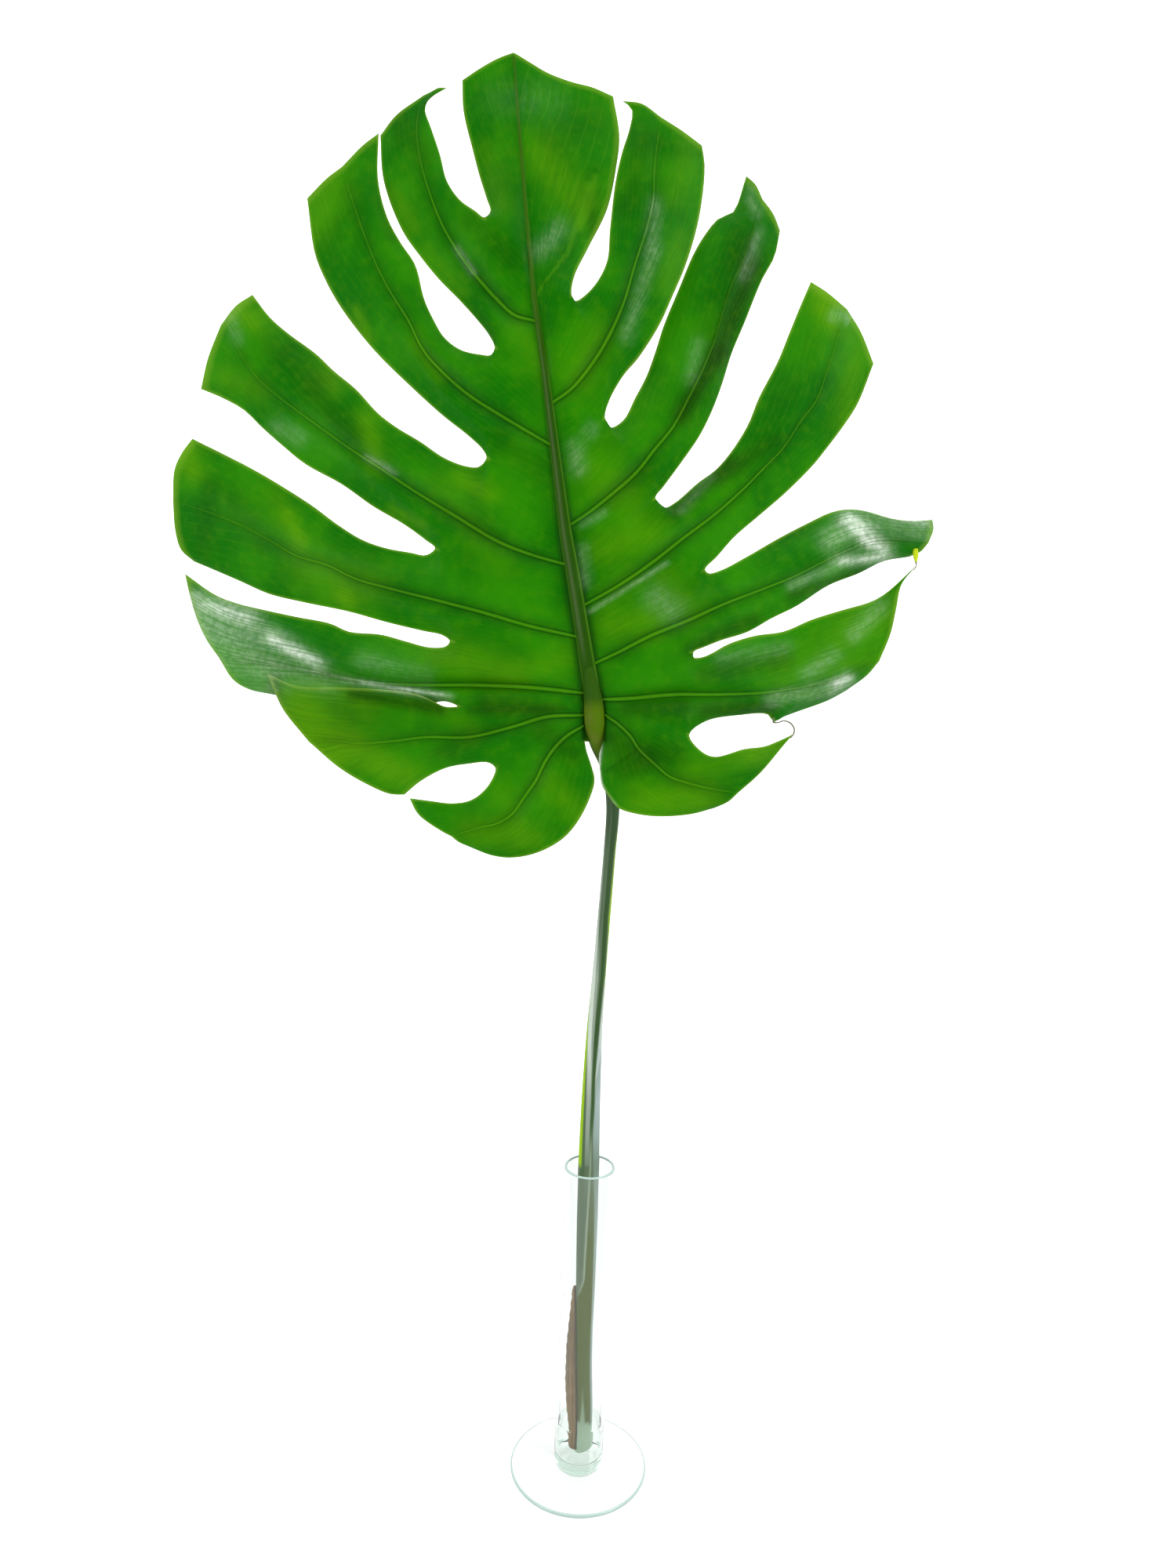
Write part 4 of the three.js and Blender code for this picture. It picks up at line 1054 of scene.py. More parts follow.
# Where the light shines off: a glossier coat there, and a painted sheen lightening the upper face's colour
highlightPatches = [
    (-229, 520, -198, 510, 5.6, 0.9), (-188, 502, -161, 486, 4.7, 1.0), (-224, 503, -190, 485, 13.1, 0.6),
    (-147, 479, -89, 472, 2.3, 0.8), (-164, 484, -147, 480, 2.3, 0.4), (-208, 489, -156, 478, 6.6, 0.35),
    (-136, 489, -103, 483, 5.6, 0.25), (126, 577, 147, 560, 5.6, 1.0), (118, 565, 124, 569, 6.1, 0.7),
    (122, 554, 148, 558, 3.8, 0.8), (138, 579, 169, 574, 6.6, 0.5), (98, 540, 121, 551, 2.8, 0.5),
    (124, 485, 132, 491, 3.8, 0.95), (91, 477, 120, 484, 4.2, 0.55), (134, 515, 147, 530, 4.2, 0.45),
    (110, 492, 123, 503, 4.7, 0.25), (62, 499, 96, 506, 4.7, 0.25), (14, 733, 14, 710, 3.8, 0.4),
    (14, 710, 2, 667, 3.8, 0.4), (-46, 708, -35, 720, 4.7, 0.4), (-89, 708, -81, 697, 2.3, 0.35),
    (-23, 609, -21, 598, 4.2, 0.45), (-17, 569, -7, 575, 2.3, 0.35), (-17, 556, -15, 537, 2.8, 0.35),
    (24, 531, 33, 524, 6.6, 0.4), (-12, 522, 28, 549, 1.4, 0.5), (-16, 617, -15, 619, 3.8, 0.3),
    (63, 741, 67, 732, 2.8, 0.5), (69, 720, 63, 700, 3.3, 0.25), (40, 664, 37, 648, 3.8, 0.3),
    (111, 682, 118, 681, 2.8, 0.5), (-184, 614, -173, 608, 4.2, 0.35), (-135, 599, -122, 593, 1.9, 0.4),
    (-210, 675, -206, 659, 3.8, 0.3), (-67, 782, -43, 781, 9.4, 0.1), (36, 578, 50, 596, 2.8, 0.2),
]
# Whitest painted highlight, lightened into the upper face's colour
paintedGlintPatches = [
    (127, 576, 146, 560, 3.2, 0.95), (126, 487, 132, 490, 2.3, 0.8), (-186, 500, -163, 488, 2.3, 0.75),
    (-224, 517, -202, 511, 2.3, 0.6), (124, 554, 144, 557, 1.9, 0.6), (-138, 478, -94, 473, 1.2, 0.7),
    (-3, 449, -4, 433, 0.8, 0.9), (-4, 433, -1, 422, 0.8, 0.9), (-1, 422, 6, 413, 0.8, 0.9),
    (155, 579, 168, 576, 1.9, 0.3),
]


def patchValues(patches, drawn):
    clear = np.ones(len(drawn))
    for startX, startZ, endX, endZ, width, strength in patches:
        start, span = np.array((startX, startZ)), np.array((endX - startX, endZ - startZ))
        share = np.clip((drawn - start) @ span / max(1, span @ span), 0, 1)
        away = np.linalg.norm(drawn - start - share[:, None] * span, axis=1)
        clear *= 1 - strength * np.exp(-((away / width) ** 2))
    return 1 - clear


def makeLeafMaterial(name, upper):
    look = leafLook
    material, shader = newMaterial(name, look["fresh"], roughness=look["roughness"], specular=look["specular"],
                                   coatRoughness=look["coatRoughness"])
    tree = material.node_tree
    marks = {key: readValue(tree, key) for key in bladeKeys}
    place = readValue(tree, "place", "Vector")
    patches = useGroup(tree, mottle, scale=look["patchScale"], low=0.35, high=0.65)
    speckle = useGroup(tree, mottle, scale=look["speckleScale"], low=0.45, high=0.75)
    crinkle = useGroup(tree, mottle, scale=look["crinkleScale"], low=0.38, high=0.6)
    veinLines = useGroup(tree, fineVeins, place=place)
    streaks = useGroup(tree, fibres, place=place, across=26.0, along=5.0)
    grain = useGroup(tree, fibres, place=place, across=90.0, along=14.0)
    pale = times(tree, marks["pale"], rampValue(tree, streaks, 0.0, 1.0, 0.7, 1.0))
    broken = times(tree, rampValue(tree, streaks, 0.0, 0.8, 0.5, 1.0),
                   rampValue(tree, crinkle, 0.0, 1.0, look["crinkled"], 1.0))
    glossAndSheen = times(tree, marks["highlightMask"], broken)
    layers = [
        (patches, "fresh"), (pale, "pale"), (marks["shade"], "shade"),
        (times(tree, veinLines, look["veinShare"]), "cord"),
        (times(tree, grain, look["grainShare"]), "shade"),
        (times(tree, speckle, look["speckled"]), "pale"),
    ]
    for key in ("groove", "margin", "band", "bandGloss", "bandLight", "knee", "cord"):
        layers.append((marks[key], key))
    if upper:
        # painted sheen lightens the colour where the light shines off; the coat weight there is real gloss
        layers.append((times(tree, glossAndSheen, look["paintedSheenShare"]), "paintedSheen"))
        # painted glint: a near-white highlight in the colour
        layers.append((times(tree, marks["paintedGlint"], broken), "paintedGlint"))
        feed(tree, shader.inputs["Coat Weight"], calc(tree, "ADD", glossAndSheen, look["waxiness"], limit=True))
    else:
        layers.append((look["underPale"], "pale"))
        layers.append((times(tree, marks["band"], look["underBandShare"]), "underBand"))
    feed(tree, shader.inputs["Base Color"], layerColours(tree, look["deep"], layers, look))
    rough = calc(tree, "ADD", times(tree, grain, 0.4), times(tree, crinkle, 0.35))
    addBump(tree, shader, calc(tree, "ADD", rough, veinLines), look["bump"], look["bumpDistance"])
    # less light comes through the thick midrib, and the painted shade and groove shade darken the light coming
    # through as well
    dark = calc(tree, "MAXIMUM", calc(tree, "MAXIMUM", marks["shade"], marks["groove"]), marks["band"])
    layers = [(patches, "lightThrough"), (pale, "paleThrough"), (dark, "shade")]
    if not upper:
        layers.append((look["underThroughShare"], "underThrough"))
    through = layerColours(tree, look["deepThrough"], layers, look)
    glow = addNode(tree, "ShaderNodeBsdfTranslucent", {"Color": through})
    mixShaders(tree, look["throughShare"], shader, glow)
    return material


leafPatches = {"pale": palePatches, "shade": shadePatches, "highlightMask": highlightPatches, "paintedGlint": paintedGlintPatches}
drawnPlaces = np.array([marks["drawn"] for marks in bladeMarks])
for key, patches in leafPatches.items():
    for marks, value in zip(bladeMarks, patchValues(patches, drawnPlaces)):
        marks[key] = value
bladeKeys = ("cord", "groove", "margin", "band", "bandLight", "bandGloss", "knee", *leafPatches)
leafMaterials = [makeLeafMaterial("leafUpper", True), makeLeafMaterial("leafUnder", False)]
leafBlade = makePiece("leafBlade", bladeAll, upperFaces + underFaces, "leaf", leafMaterials, ["leaf_blade"])
leafBlade.data.polygons.foreach_set("material_index", [0] * len(upperFaces) + [1] * len(underFaces))
for key in bladeKeys:
    storeValues(leafBlade, key, [marks[key] for marks in bladeMarks] * 2)
veinPlaces = [(marks["across"] - leafLook["drift"] * marks["along"], marks["along"], 0) for marks in bladeMarks]
storeValues(leafBlade, "place", veinPlaces * 2, "FLOAT_VECTOR")
sharpenFrom(leafBlade, 60)
print("leaf blade,", len(leafBlade.data.polygons), "faces")


# Dried shreds of the margin that hang from two lobe tips on the right: lines as [x, z, radius]

shredShape = {
    "sides": 10,
    "steps": 10,
    "flatness": 0.4,
}
shredLook = {
    "dry": (0.16, 0.15, 0.1),
    "yellow": (0.4, 0.5, 0.005),
    "green": (0.03, 0.15, 0.002),
}
shredLines = [
    {"edge": "yellow", "line": [
        (164.2, 562.3, 1.41), (164.5, 558.9, 1.69), (164.8, 556.0, 0.89), (165.2, 553.7, 0.33),
        (165.0, 552.2, 0.28), (163.9, 550.7, 0.21)]},
    {"edge": "green", "line": [
        (92.8, 467.5, 0.38), (92.5, 464.8, 0.47), (95.3, 464.7, 0.38), (98.1, 465.7, 0.38),
        (100.1, 465.4, 0.40), (102.0, 464.6, 0.42), (103.4, 463.2, 0.45), (104.3, 461.7, 0.45),
        (104.5, 460.1, 0.45), (104.2, 458.6, 0.47), (102.5, 456.4, 0.56)]},
]


def makeShreds():
    shape, points, faces = shredShape, [], []
    marks = {"yellow": [], "green": []}
    drawn = drawnTree()
    for shred in shredLines:
        samples, shares = smoothLine(shred["line"], shape["steps"])
        first, last = (bladeAll[drawn.find((samples[end][0], 0, samples[end][1]))[1]][1] for end in (0, -1))
        middles = [seenAt(x, z, blendValue(first, last, share)) for (x, z, _), share in zip(samples, shares)]
        start = len(points)
        for i, (middle, radius) in enumerate(zip(middles, samples[:, 2])):
            ahead = middles[min(i + 1, len(middles) - 1)] - middles[max(i - 1, 0)]
            ahead /= np.linalg.norm(ahead)
            sideways = np.cross(ahead, (0, 1, 0))
            sideways /= np.linalg.norm(sideways)
            outward = np.cross(sideways, ahead) * shape["flatness"]
            for side in range(shape["sides"]):
                angle = 2 * math.pi * side / shape["sides"]
                points.append(middle + radius * (math.cos(angle) * sideways + math.sin(angle) * outward))
                for key in marks:
                    marks[key].append(smoothStep(0.5, 0.9, radius) if key == shred["edge"] else 0.0)
        for ring in range(len(middles) - 1):
            for side in range(shape["sides"]):
                a = start + ring * shape["sides"] + side
                b = start + ring * shape["sides"] + (side + 1) % shape["sides"]
                faces.append((a, b, b + shape["sides"], a + shape["sides"]))
        faces.append(tuple(range(start, start + shape["sides"]))[::-1])
        faces.append(tuple(range(len(points) - shape["sides"], len(points))))
    return points, faces, marks


def makeShredMaterial():
    look = shredLook
    material, shader = newMaterial("dryShred", look["dry"], roughness=0.6, specular=0.1)
    tree = material.node_tree
    layers = [("yellow", "yellow"), ("green", "green")]
    feed(tree, shader.inputs["Base Color"], layerColours(tree, look["dry"], layers, look))
    return material


shredPoints, shredFaces, shredMarks = makeShreds()
edgeShreds = makePiece("edgeShreds", shredPoints, shredFaces, "leaf", [makeShredMaterial()])
for key, values in shredMarks.items():
    storeValues(edgeShreds, key, values)
sharpenFrom(edgeShreds, 60)
print("shreds done")


# Stalk: a round stem with an open fold down its front, which narrows to a seam inside the vase

# The middle of the stalk and its radius, from the table up: [x, y, z, radius]
stalkLine = [
    (2.9, 1.5, 13.2, 5), (2.4, 2, 42, 5.1), (1.2, 2.5, 67, 5), (0.6, 3.1, 92, 5.2), (0.3, 3.8, 120, 5.9),
    (-0.2, 5, 161, 6.4), (-0.6, 6.2, 197, 6.3), (-0.8, 8, 235, 5.6), (-0.2, 10.4, 279, 4.6),
    (1.8, 12.8, 325, 3.8), (4.4, 14.6, 383, 3.5), (5.3, 14, 410, 3.8), (4, 11.6, 424, 4.1),
    (0.4, 8.2, 438, 4.5), (-4.3, 4.4, 449, 5.2), (-6.8, 2.4, 459, 5.9), (-7.8, 1.7, 467, 5.7),
    (-8.6, 2.0, 474, 5.2), (-10.1, 3.2, 482, 4.7), (-12.2, 5.0, 493, 4.3),
]

stalkShape = {
    "rings": 220,
    "sides": 72,
    "cutSlope": 0.45,
    "kneeEndRound": 3.4,
    "foldDepth": 0.24,
    "seamHeight": 0.25,
    "seamWidth": 0.07,
    "bandSoftness": 0.07,
    "ribs": 26,
    "ribHeight": 0.05,
    "aheadShare": 0.004,
    "foldRise": (205, 300),
    "seamTop": (225, 200),
    "seamFoot": (112, 120),
    "kneeRise": (432, 450),
    "ribRise": (467, 475),
    "frontEdge": (0.1, -0.3),
}
stalkLook = {
    "body": (0.09, 0.135, 0.082),
    "fold": (0.034, 0.076, 0.024),
    # the wing's own pale colour on the left, and a painted highlight on the right side
    "paleWingAndHighlight": (0.47, 0.54, 0.47),
    # painted highlight: a pale blue-grey line of reflected light down the right edge
    "paintedBlueHighlight": (0.29, 0.37, 0.36),
    "sunlit": (0.24, 0.42, 0.006),
    "olive": (0.052, 0.08, 0.006),
    "dipped": (0.29, 0.41, 0.3),
    "seam": (0.22, 0.29, 0.2),
    "knee": (0.058, 0.125, 0.001),
    "rib": (0.02, 0.07, 0.002),
    "scurf": (0.13, 0.12, 0.03),
}
# bands up the front, from left at -1 to right at 1: [height, from, to, strength]
stalkBands = {
    "fold": [
        [(196, 0.0, 0.1, 0), (217, 0.0, 0.28, 0.9), (236, 0.05, 0.38, 1), (271, 0.0, 0.62, 1),
         (309, 0.25, 0.88, 1), (347, -0.1, 0.65, 1), (400, -0.1, 0.78, 0.8), (425, -0.2, 0.9, 0.6)],
        [(122, -1.2, -0.5, 0.4), (140, -1.2, -0.35, 0.5), (170, -1.2, -0.1, 0.5), (197, -0.75, -0.42, 0.4),
         (236, -0.75, -0.55, 0.4), (255, -0.75, -0.6, 0)],
    ],
    # the first two bands are the pale wing on the left; the last is a painted highlight on the right side
    "paleWingAndHighlight": [
        [(197, -0.4, 0.1, 0.12), (217, -0.44, -0.04, 0.35), (236, -0.5, -0.02, 0.42), (255, -0.62, -0.1, 0.75),
         (271, -0.8, -0.3, 1), (309, -1.2, -0.48, 1), (330, -1.2, -0.6, 0.8), (347, -1.2, -0.74, 0.5),
         (400, -1.2, -0.85, 0.15), (420, -1.2, -0.85, 0)],
        [(225, -0.1, 0, 0), (260, -0.35, -0.02, 0.3), (309, -0.5, -0.08, 0.4), (340, -0.6, -0.4, 0)],
        [(236, 0.36, 0.46, 0), (250, 0.42, 0.52, 0.8), (271, 0.64, 1.2, 0.95), (309, 0.92, 1.2, 0.8),
         (330, 0.95, 1.2, 0)],
    ],
    # painted highlight down the stalk's right edge
    "paintedBlueHighlight": [
        [(12, 0.76, 1.2, 0.5), (60, 0.74, 1.2, 0.65), (100, 0.76, 1.2, 0.7), (152, 0.68, 1.2, 0.55),
         (178, 0.6, 1.2, 0.4), (197, 0.4, 1.2, 0.25), (217, 0.34, 1.2, 0.7), (236, 0.44, 1.2, 0.9),
         (265, 0.6, 1.2, 0.6), (280, 0.7, 1.2, 0)],
    ],
    "sunlit": [
        [(194, -1.2, -0.7, 0), (197, -1.2, -0.7, 1), (236, -1.2, -0.73, 1), (271, -1.2, -0.79, 1),
         (290, -1.2, -0.9, 0.6), (305, -1.2, -0.95, 0)],
        [(285, 0.93, 1.2, 0), (300, 0.91, 1.2, 0.4), (330, 0.88, 1.2, 0.8), (347, 0.72, 1.2, 0.8),
         (390, 0.84, 1.2, 0.7), (402, 0.9, 1.2, 0)],
    ],
    "olive": [
        [(105, -1.2, 1.2, 1), (113, -0.8, 1.2, 1), (125, -0.12, 0.9, 1), (152, 0.02, 0.75, 1),
         (180, 0.15, 0.6, 0.5), (192, 0.2, 0.5, 0)],
    ],
    "dipped": [
        [(12, -1.2, 1.2, 0.8), (28, -1.2, 1.2, 0.7), (33, -0.5, 0.1, 0.5), (45, -0.3, -0.1, 0.35),
         (58, -0.25, -0.2, 0)],
    ],
}
seamPlace = [(113, -0.85), (120, -0.45), (125, -0.2), (152, -0.07), (178, 0.06), (197, 0.15), (217, 0.14)]
stalkCurve = smoothLine([point[:3] for point in stalkLine], 40)
stalkWidths = [(point[2], point[3]) for point in stalkLine]


def stalkCentre(height):
    samples, shares = stalkCurve
    return [float(np.interp(height, samples[:, 2], samples[:, axis])) for axis in range(2)] + [height]


def bandValue(name, height, sideways):
    value, soft = 0, stalkShape["bandSoftness"]
    toTheFoot = name in ("olive", "paintedBlueHighlight", "dipped")
    for band in stalkBands[name]:
        if band[0][0] <= height <= band[-1][0] or (toTheFoot and height < band[0][0]):
            start, end, strength = (tableValue([(row[0], row[i]) for row in band], height) for i in (1, 2, 3))
            inside = smoothStep(start - soft, start + soft, sideways)
            inside *= smoothStep(end + soft, end - soft, sideways)
            value = max(value, strength * inside)
    return value


def makeStalk():
    shape = stalkShape
    top = stalkLine[-1][2]
    points, faces = [], []
    marks = {key: [] for key in (*stalkBands, "seam", "knee", "rib")}
    places = []
    for ring in range(shape["rings"] + 1):
        share = ring / shape["rings"]
        centre = np.array(pointAlong(stalkCurve, share))
        ahead = np.array(pointAlong(stalkCurve, min(1, share + shape["aheadShare"])))
        behind = np.array(pointAlong(stalkCurve, max(0, share - shape["aheadShare"])))
        direction = (ahead - behind) / np.linalg.norm(ahead - behind)
        acrossWay = np.array([1, 0, 0]) - direction * direction[0]
        acrossWay /= np.linalg.norm(acrossWay)
        backWay = np.cross(direction, acrossWay)
        height = centre[2]
        width = tableValue(stalkWidths, height)
        rounding = math.sqrt(min(1, (top - height + 0.05) / shape["kneeEndRound"]))
        seamAt = tableValue(seamPlace, height)
        for side in range(shape["sides"]):
            angle = 2 * math.pi * side / shape["sides"] - math.pi
            sideways = math.cos(angle)
            facing = smoothStep(*shape["frontEdge"], math.sin(angle))
            bands = {key: facing * bandValue(key, height, sideways) for key in stalkBands}
            fold = shape["foldDepth"] * bands["fold"] * smoothStep(*shape["foldRise"], height)
            radius = width * rounding * (1 - fold)
            onSeam = facing * smoothStep(*shape["seamTop"], height) * smoothStep(*shape["seamFoot"], height)
            onSeam *= hump(sideways - seamAt, shape["seamWidth"])
            radius += shape["seamHeight"] * onSeam
            radius += shape["ribHeight"] * math.sin(shape["ribs"] * angle) * (1 - bands["fold"])
            points.append(centre + radius * (sideways * acrossWay + math.sin(angle) * backWay))
            for key, value in bands.items():
                marks[key].append(value)
            marks["seam"].append(onSeam)
            marks["knee"].append(smoothStep(*shape["kneeRise"], height))
            marks["rib"].append(facing * smoothStep(*shape["ribRise"], height))
            places.append((sideways, height * 0.01, 0 if math.sin(angle) < 0 else 1))
        if ring == 0:
            for i in range(shape["sides"]):
                points[i][2] += shape["cutSlope"] * (points[i][0] - centre[0])
    for ring in range(shape["rings"]):
        for side in range(shape["sides"]):
            a, b = ring * shape["sides"] + side, ring * shape["sides"] + (side + 1) % shape["sides"]
            faces.append((a, b, b + shape["sides"], a + shape["sides"]))
    faces.append(tuple(range(shape["sides"]))[::-1])
    faces.append(tuple(range(shape["rings"] * shape["sides"], len(points))))
    return points, faces, marks, places


def makeStalkMaterial():
    look = stalkLook
    material, shader = newMaterial("stalkSkin", look["body"], roughness=0.42, specular=0.04)
    tree = material.node_tree
    place = readValue(tree, "place", "Vector")
    streaks = useGroup(tree, fibres, place=place, across=9.0, along=1.5)
    fine = useGroup(tree, fibres, place=place, across=30.0, along=4.0)
    patches = useGroup(tree, mottle, scale=120.0, low=0.4, high=0.65)
    layers = [(times(tree, streaks, 0.25), "fold")]
    layers += [(key, key) for key in ("fold", "olive", "paleWingAndHighlight", "paintedBlueHighlight", "sunlit", "dipped", "seam", "knee")]
    layers += [(times(tree, readValue(tree, "knee"), times(tree, patches, 0.3)), "scurf"), ("rib", "rib")]
    feed(tree, shader.inputs["Base Color"], layerColours(tree, look["body"], layers, look))
    addBump(tree, shader, fine, 0.25, 0.0003)
    feed(tree, shader.inputs["Roughness"], rampValue(tree, streaks, 0.0, 1.0, 0.36, 0.5))
    return material


stalkPoints, stalkFaces, stalkMarks, stalkPlaces = makeStalk()
leafStalk = makePiece("leafStalk", stalkPoints, stalkFaces, "stalk", [makeStalkMaterial()], ["petiole"])
for key, values in stalkMarks.items():
    storeValues(leafStalk, key, values)
storeValues(leafStalk, "place", stalkPlaces, "FLOAT_VECTOR")
sharpenFrom(leafStalk, 50)
print("stalk done")


# Dried sheath: a thin curled strip with a ragged outer edge

# How far the strip stands off the stalk: [height, distance]
sheathBulge = [
    (13.5, 3), (20, 3.4), (32, 4.7), (41, 5.7), (55, 6.2), (80, 5.3), (94, 3.9), (108, 2.4), (121, 1.1),
]

sheathShape = {
    "top": 117,
    "bottom": 13.5,
    "from": 138,
    "to": 216,
    "gap": 0.5,
    "edgeThickness": 0.5,
    "thickness": 0.9,
    "narrowing": 0.6,
    "rings": 90,
    "sides": 22,
    "ragged": 0.22,
    "raggedPitch": 0.9,
    "finePitch": 2.3,
    "fineShare": 0.6,
    "ripple": 0.08,
    "rippleTurns": 40,
    "rippleLean": 0.2,
    "darkEdge": (0.93, 1.0),
}
sheathLook = {
    "tan": (0.2, 0.13, 0.035),
    "brown": (0.1, 0.062, 0.014),
    "dark": (0.04, 0.03, 0.012),
    "roughness": 0.75,
}


def makeSheath():
    shape = sheathShape
    points, faces, places, dark = [], [], [], []
    middle, half = (shape["from"] + shape["to"]) / 2, (shape["to"] - shape["from"]) / 2
    for ring in range(shape["rings"] + 1):
        share = ring / shape["rings"]
        height = blendValue(shape["bottom"], shape["top"], share)
        centre = stalkCentre(height)
        spread = half * (1 - shape["narrowing"] * share ** 3)
        near = tableValue(stalkWidths, height) + shape["gap"]
        ragged = math.sin(height * shape["raggedPitch"])
        ragged += shape["fineShare"] * math.sin(height * shape["finePitch"] + 1)
        ragged *= shape["ragged"]
        outer, inner = [], []
        for side in range(shape["sides"] + 1):
            across = side / shape["sides"]
            angle = math.radians(middle + spread * (2 * across - 1))
            crest = math.sin(math.pi * across)
            bulge = (tableValue(sheathBulge, height) - shape["edgeThickness"]) * crest + ragged * crest ** 2
            ripple = math.sin(across * shape["rippleTurns"] + height * shape["rippleLean"]) * crest
            ripple *= shape["ripple"]
            far = near + shape["edgeThickness"] + bulge + ripple
            thickness = blendValue(shape["edgeThickness"], shape["thickness"], crest)
            for radius, row in ((far, outer), (far - thickness, inner)):
                row.append((centre[0] + radius * math.cos(angle), centre[1] + radius * math.sin(angle), height))
        points += outer + inner[::-1]
        steps = [side / shape["sides"] for side in range(shape["sides"] + 1)]
        places += [(across, height * 0.01, 0) for across in steps + steps[::-1]]
        dark += [smoothStep(*shape["darkEdge"], across) for across in steps + steps[::-1]]
    count = 2 * (shape["sides"] + 1)
    for ring in range(shape["rings"]):
        for side in range(count):
            a, b = ring * count + side, ring * count + (side + 1) % count
            faces.append((a, b, b + count, a + count))
    last = shape["rings"] * count
    for side in range(shape["sides"]):
        far = count - 1 - side
        faces.append((side, far, far - 1, side + 1))
        faces.append((last + side, last + side + 1, last + far - 1, last + far))
    return points, faces, places, dark


def makeSheathMaterial():
    look = sheathLook
    material, shader = newMaterial("drySheath", look["tan"], roughness=look["roughness"], specular=0.25)
    tree = material.node_tree
    place = readValue(tree, "place", "Vector")
    streaks = useGroup(tree, fibres, place=place, across=14.0, along=2.0)
    fine = useGroup(tree, fibres, place=place, across=60.0, along=6.0)
    patches = useGroup(tree, mottle, scale=90.0, low=0.45, high=0.7)
    layers = [(streaks, "brown"), (times(tree, fine, 0.4), "dark"), (times(tree, patches, 0.4), "tan"),
              ("dark", "dark")]
    feed(tree, shader.inputs["Base Color"], layerColours(tree, look["tan"], layers, look))
    addBump(tree, shader, fine, 0.5, 0.0004)
    return material


sheathPoints, sheathFaces, sheathPlaces, sheathDark = makeSheath()
sheathStrip = makePiece("sheathStrip", sheathPoints, sheathFaces, "dry_sheath", [makeSheathMaterial()],
                        ["petiole_sheath"])
storeValues(sheathStrip, "place", sheathPlaces, "FLOAT_VECTOR")
storeValues(sheathStrip, "dark", sheathDark)
sharpenFrom(sheathStrip, 50)
print("sheath done")


# Vase: turned glass pieces from their profiles of (radius, height)

vaseShape = {
    "footRadius": 41.8,
    "footThickness": 2.5,
    "footRound": 1.1,
    "bondGap": 0.02,
    "tubeRadius": 15,
    "wall": 1.6,
    "rim": 197.4,
    "bottom": 7,
    "bottomRound": 4,
    "innerRound": 3,
    "sides": 128,
}
waterShape = {
    "level": 31.5,
    "insideGlass": 0.05,
    "creep": 0.8,
    "creepWidth": 1.3,
    "creepReach": 6,
}
glassLook = {
    "colour": (0.975, 0.99, 0.985),
    "ior": 1.5,
    "specular": 0.2,
    "green": (0.4, 0.68, 0.52),
    "greenDensity": 24.0,
    "edge": (0.34, 0.45, 0.41),
}
waterLook = {"colour": (0.98, 1.0, 0.99), "ior": 1.06, "specular": 0.5}


def cornerArc(radius, height, round, fromAngle, toAngle, steps=8):
    angles = [math.radians(blendValue(fromAngle, toAngle, i / steps)) for i in range(steps + 1)]
    return [(radius + round * math.cos(angle), height + round * math.sin(angle)) for angle in angles]


def turnProfile(profile, sides):  # the profile starts and ends on the axis
    steady = [profile[0]]  # long straight parts get a ring near each end, so that they shade flat
    for (radius, height), (nextRadius, nextHeight) in zip(profile, profile[1:]):
        share = 0.2 / max(0.2, math.hypot(nextRadius - radius, nextHeight - height))
        if share < 0.1:
            for way in (share, 1 - share):
                steady.append((blendValue(radius, nextRadius, way), blendValue(height, nextHeight, way)))
        steady.append((nextRadius, nextHeight))
    points, faces = [], []
    rows = []
    for radius, height in steady:
        if radius < 1e-6:
            rows.append([len(points)])
            points.append((0, 0, height))
            continue
        rows.append(list(range(len(points), len(points) + sides)))
        for side in range(sides):
            angle = 2 * math.pi * side / sides
            points.append((radius * math.cos(angle), radius * math.sin(angle), height))
    for lower, upper in zip(rows, rows[1:]):
        for side in range(sides):
            following = (side + 1) % sides
            if len(lower) == 1:
                faces.append((lower[0], upper[following], upper[side]))
            elif len(upper) == 1:
                faces.append((lower[side], lower[following], upper[0]))
            else:
                faces.append((lower[side], lower[following], upper[following], upper[side]))
    return points, faces


def makeGlassMaterial(name, look, density=0.0):
    material, shader = newMaterial(name, look["colour"], roughness=0.0, transmission=1.0, ior=look["ior"],
                                   specular=look["specular"])
    tree = material.node_tree
    waver = useGroup(tree, mottle, scale=35.0, low=0.3, high=0.7)
    addBump(tree, shader, waver, 0.03, 0.001)
    if density:
        tint = addNode(tree, "ShaderNodeVolumeAbsorption", {"Color": (*look["green"], 1), "Density": density})
        feed(tree, tree.nodes["Material Output"].inputs["Volume"], tint.outputs[0])
    return material


def makeEdgeMaterial():  # edges glow pale green from outside and stay clear from inside the glass
    look = glassLook
    material, shader = newMaterial("glassEdge", look["edge"], roughness=0.25)
    tree = material.node_tree
    inside = addNode(tree, "ShaderNodeBsdfPrincipled", {
        "Base Color": (*look["colour"], 1), "Roughness": 0.0, "IOR": look["ior"], "Transmission Weight": 1.0,
        "Specular IOR Level": look["specular"]})
    mixShaders(tree, addNode(tree, "ShaderNodeNewGeometry").outputs["Backfacing"], shader, inside)
    return material


def letLightPass(piece):  # clear pieces neither darken the floor nor what stands in them
    piece.visible_shadow = False
    piece.visible_diffuse = False


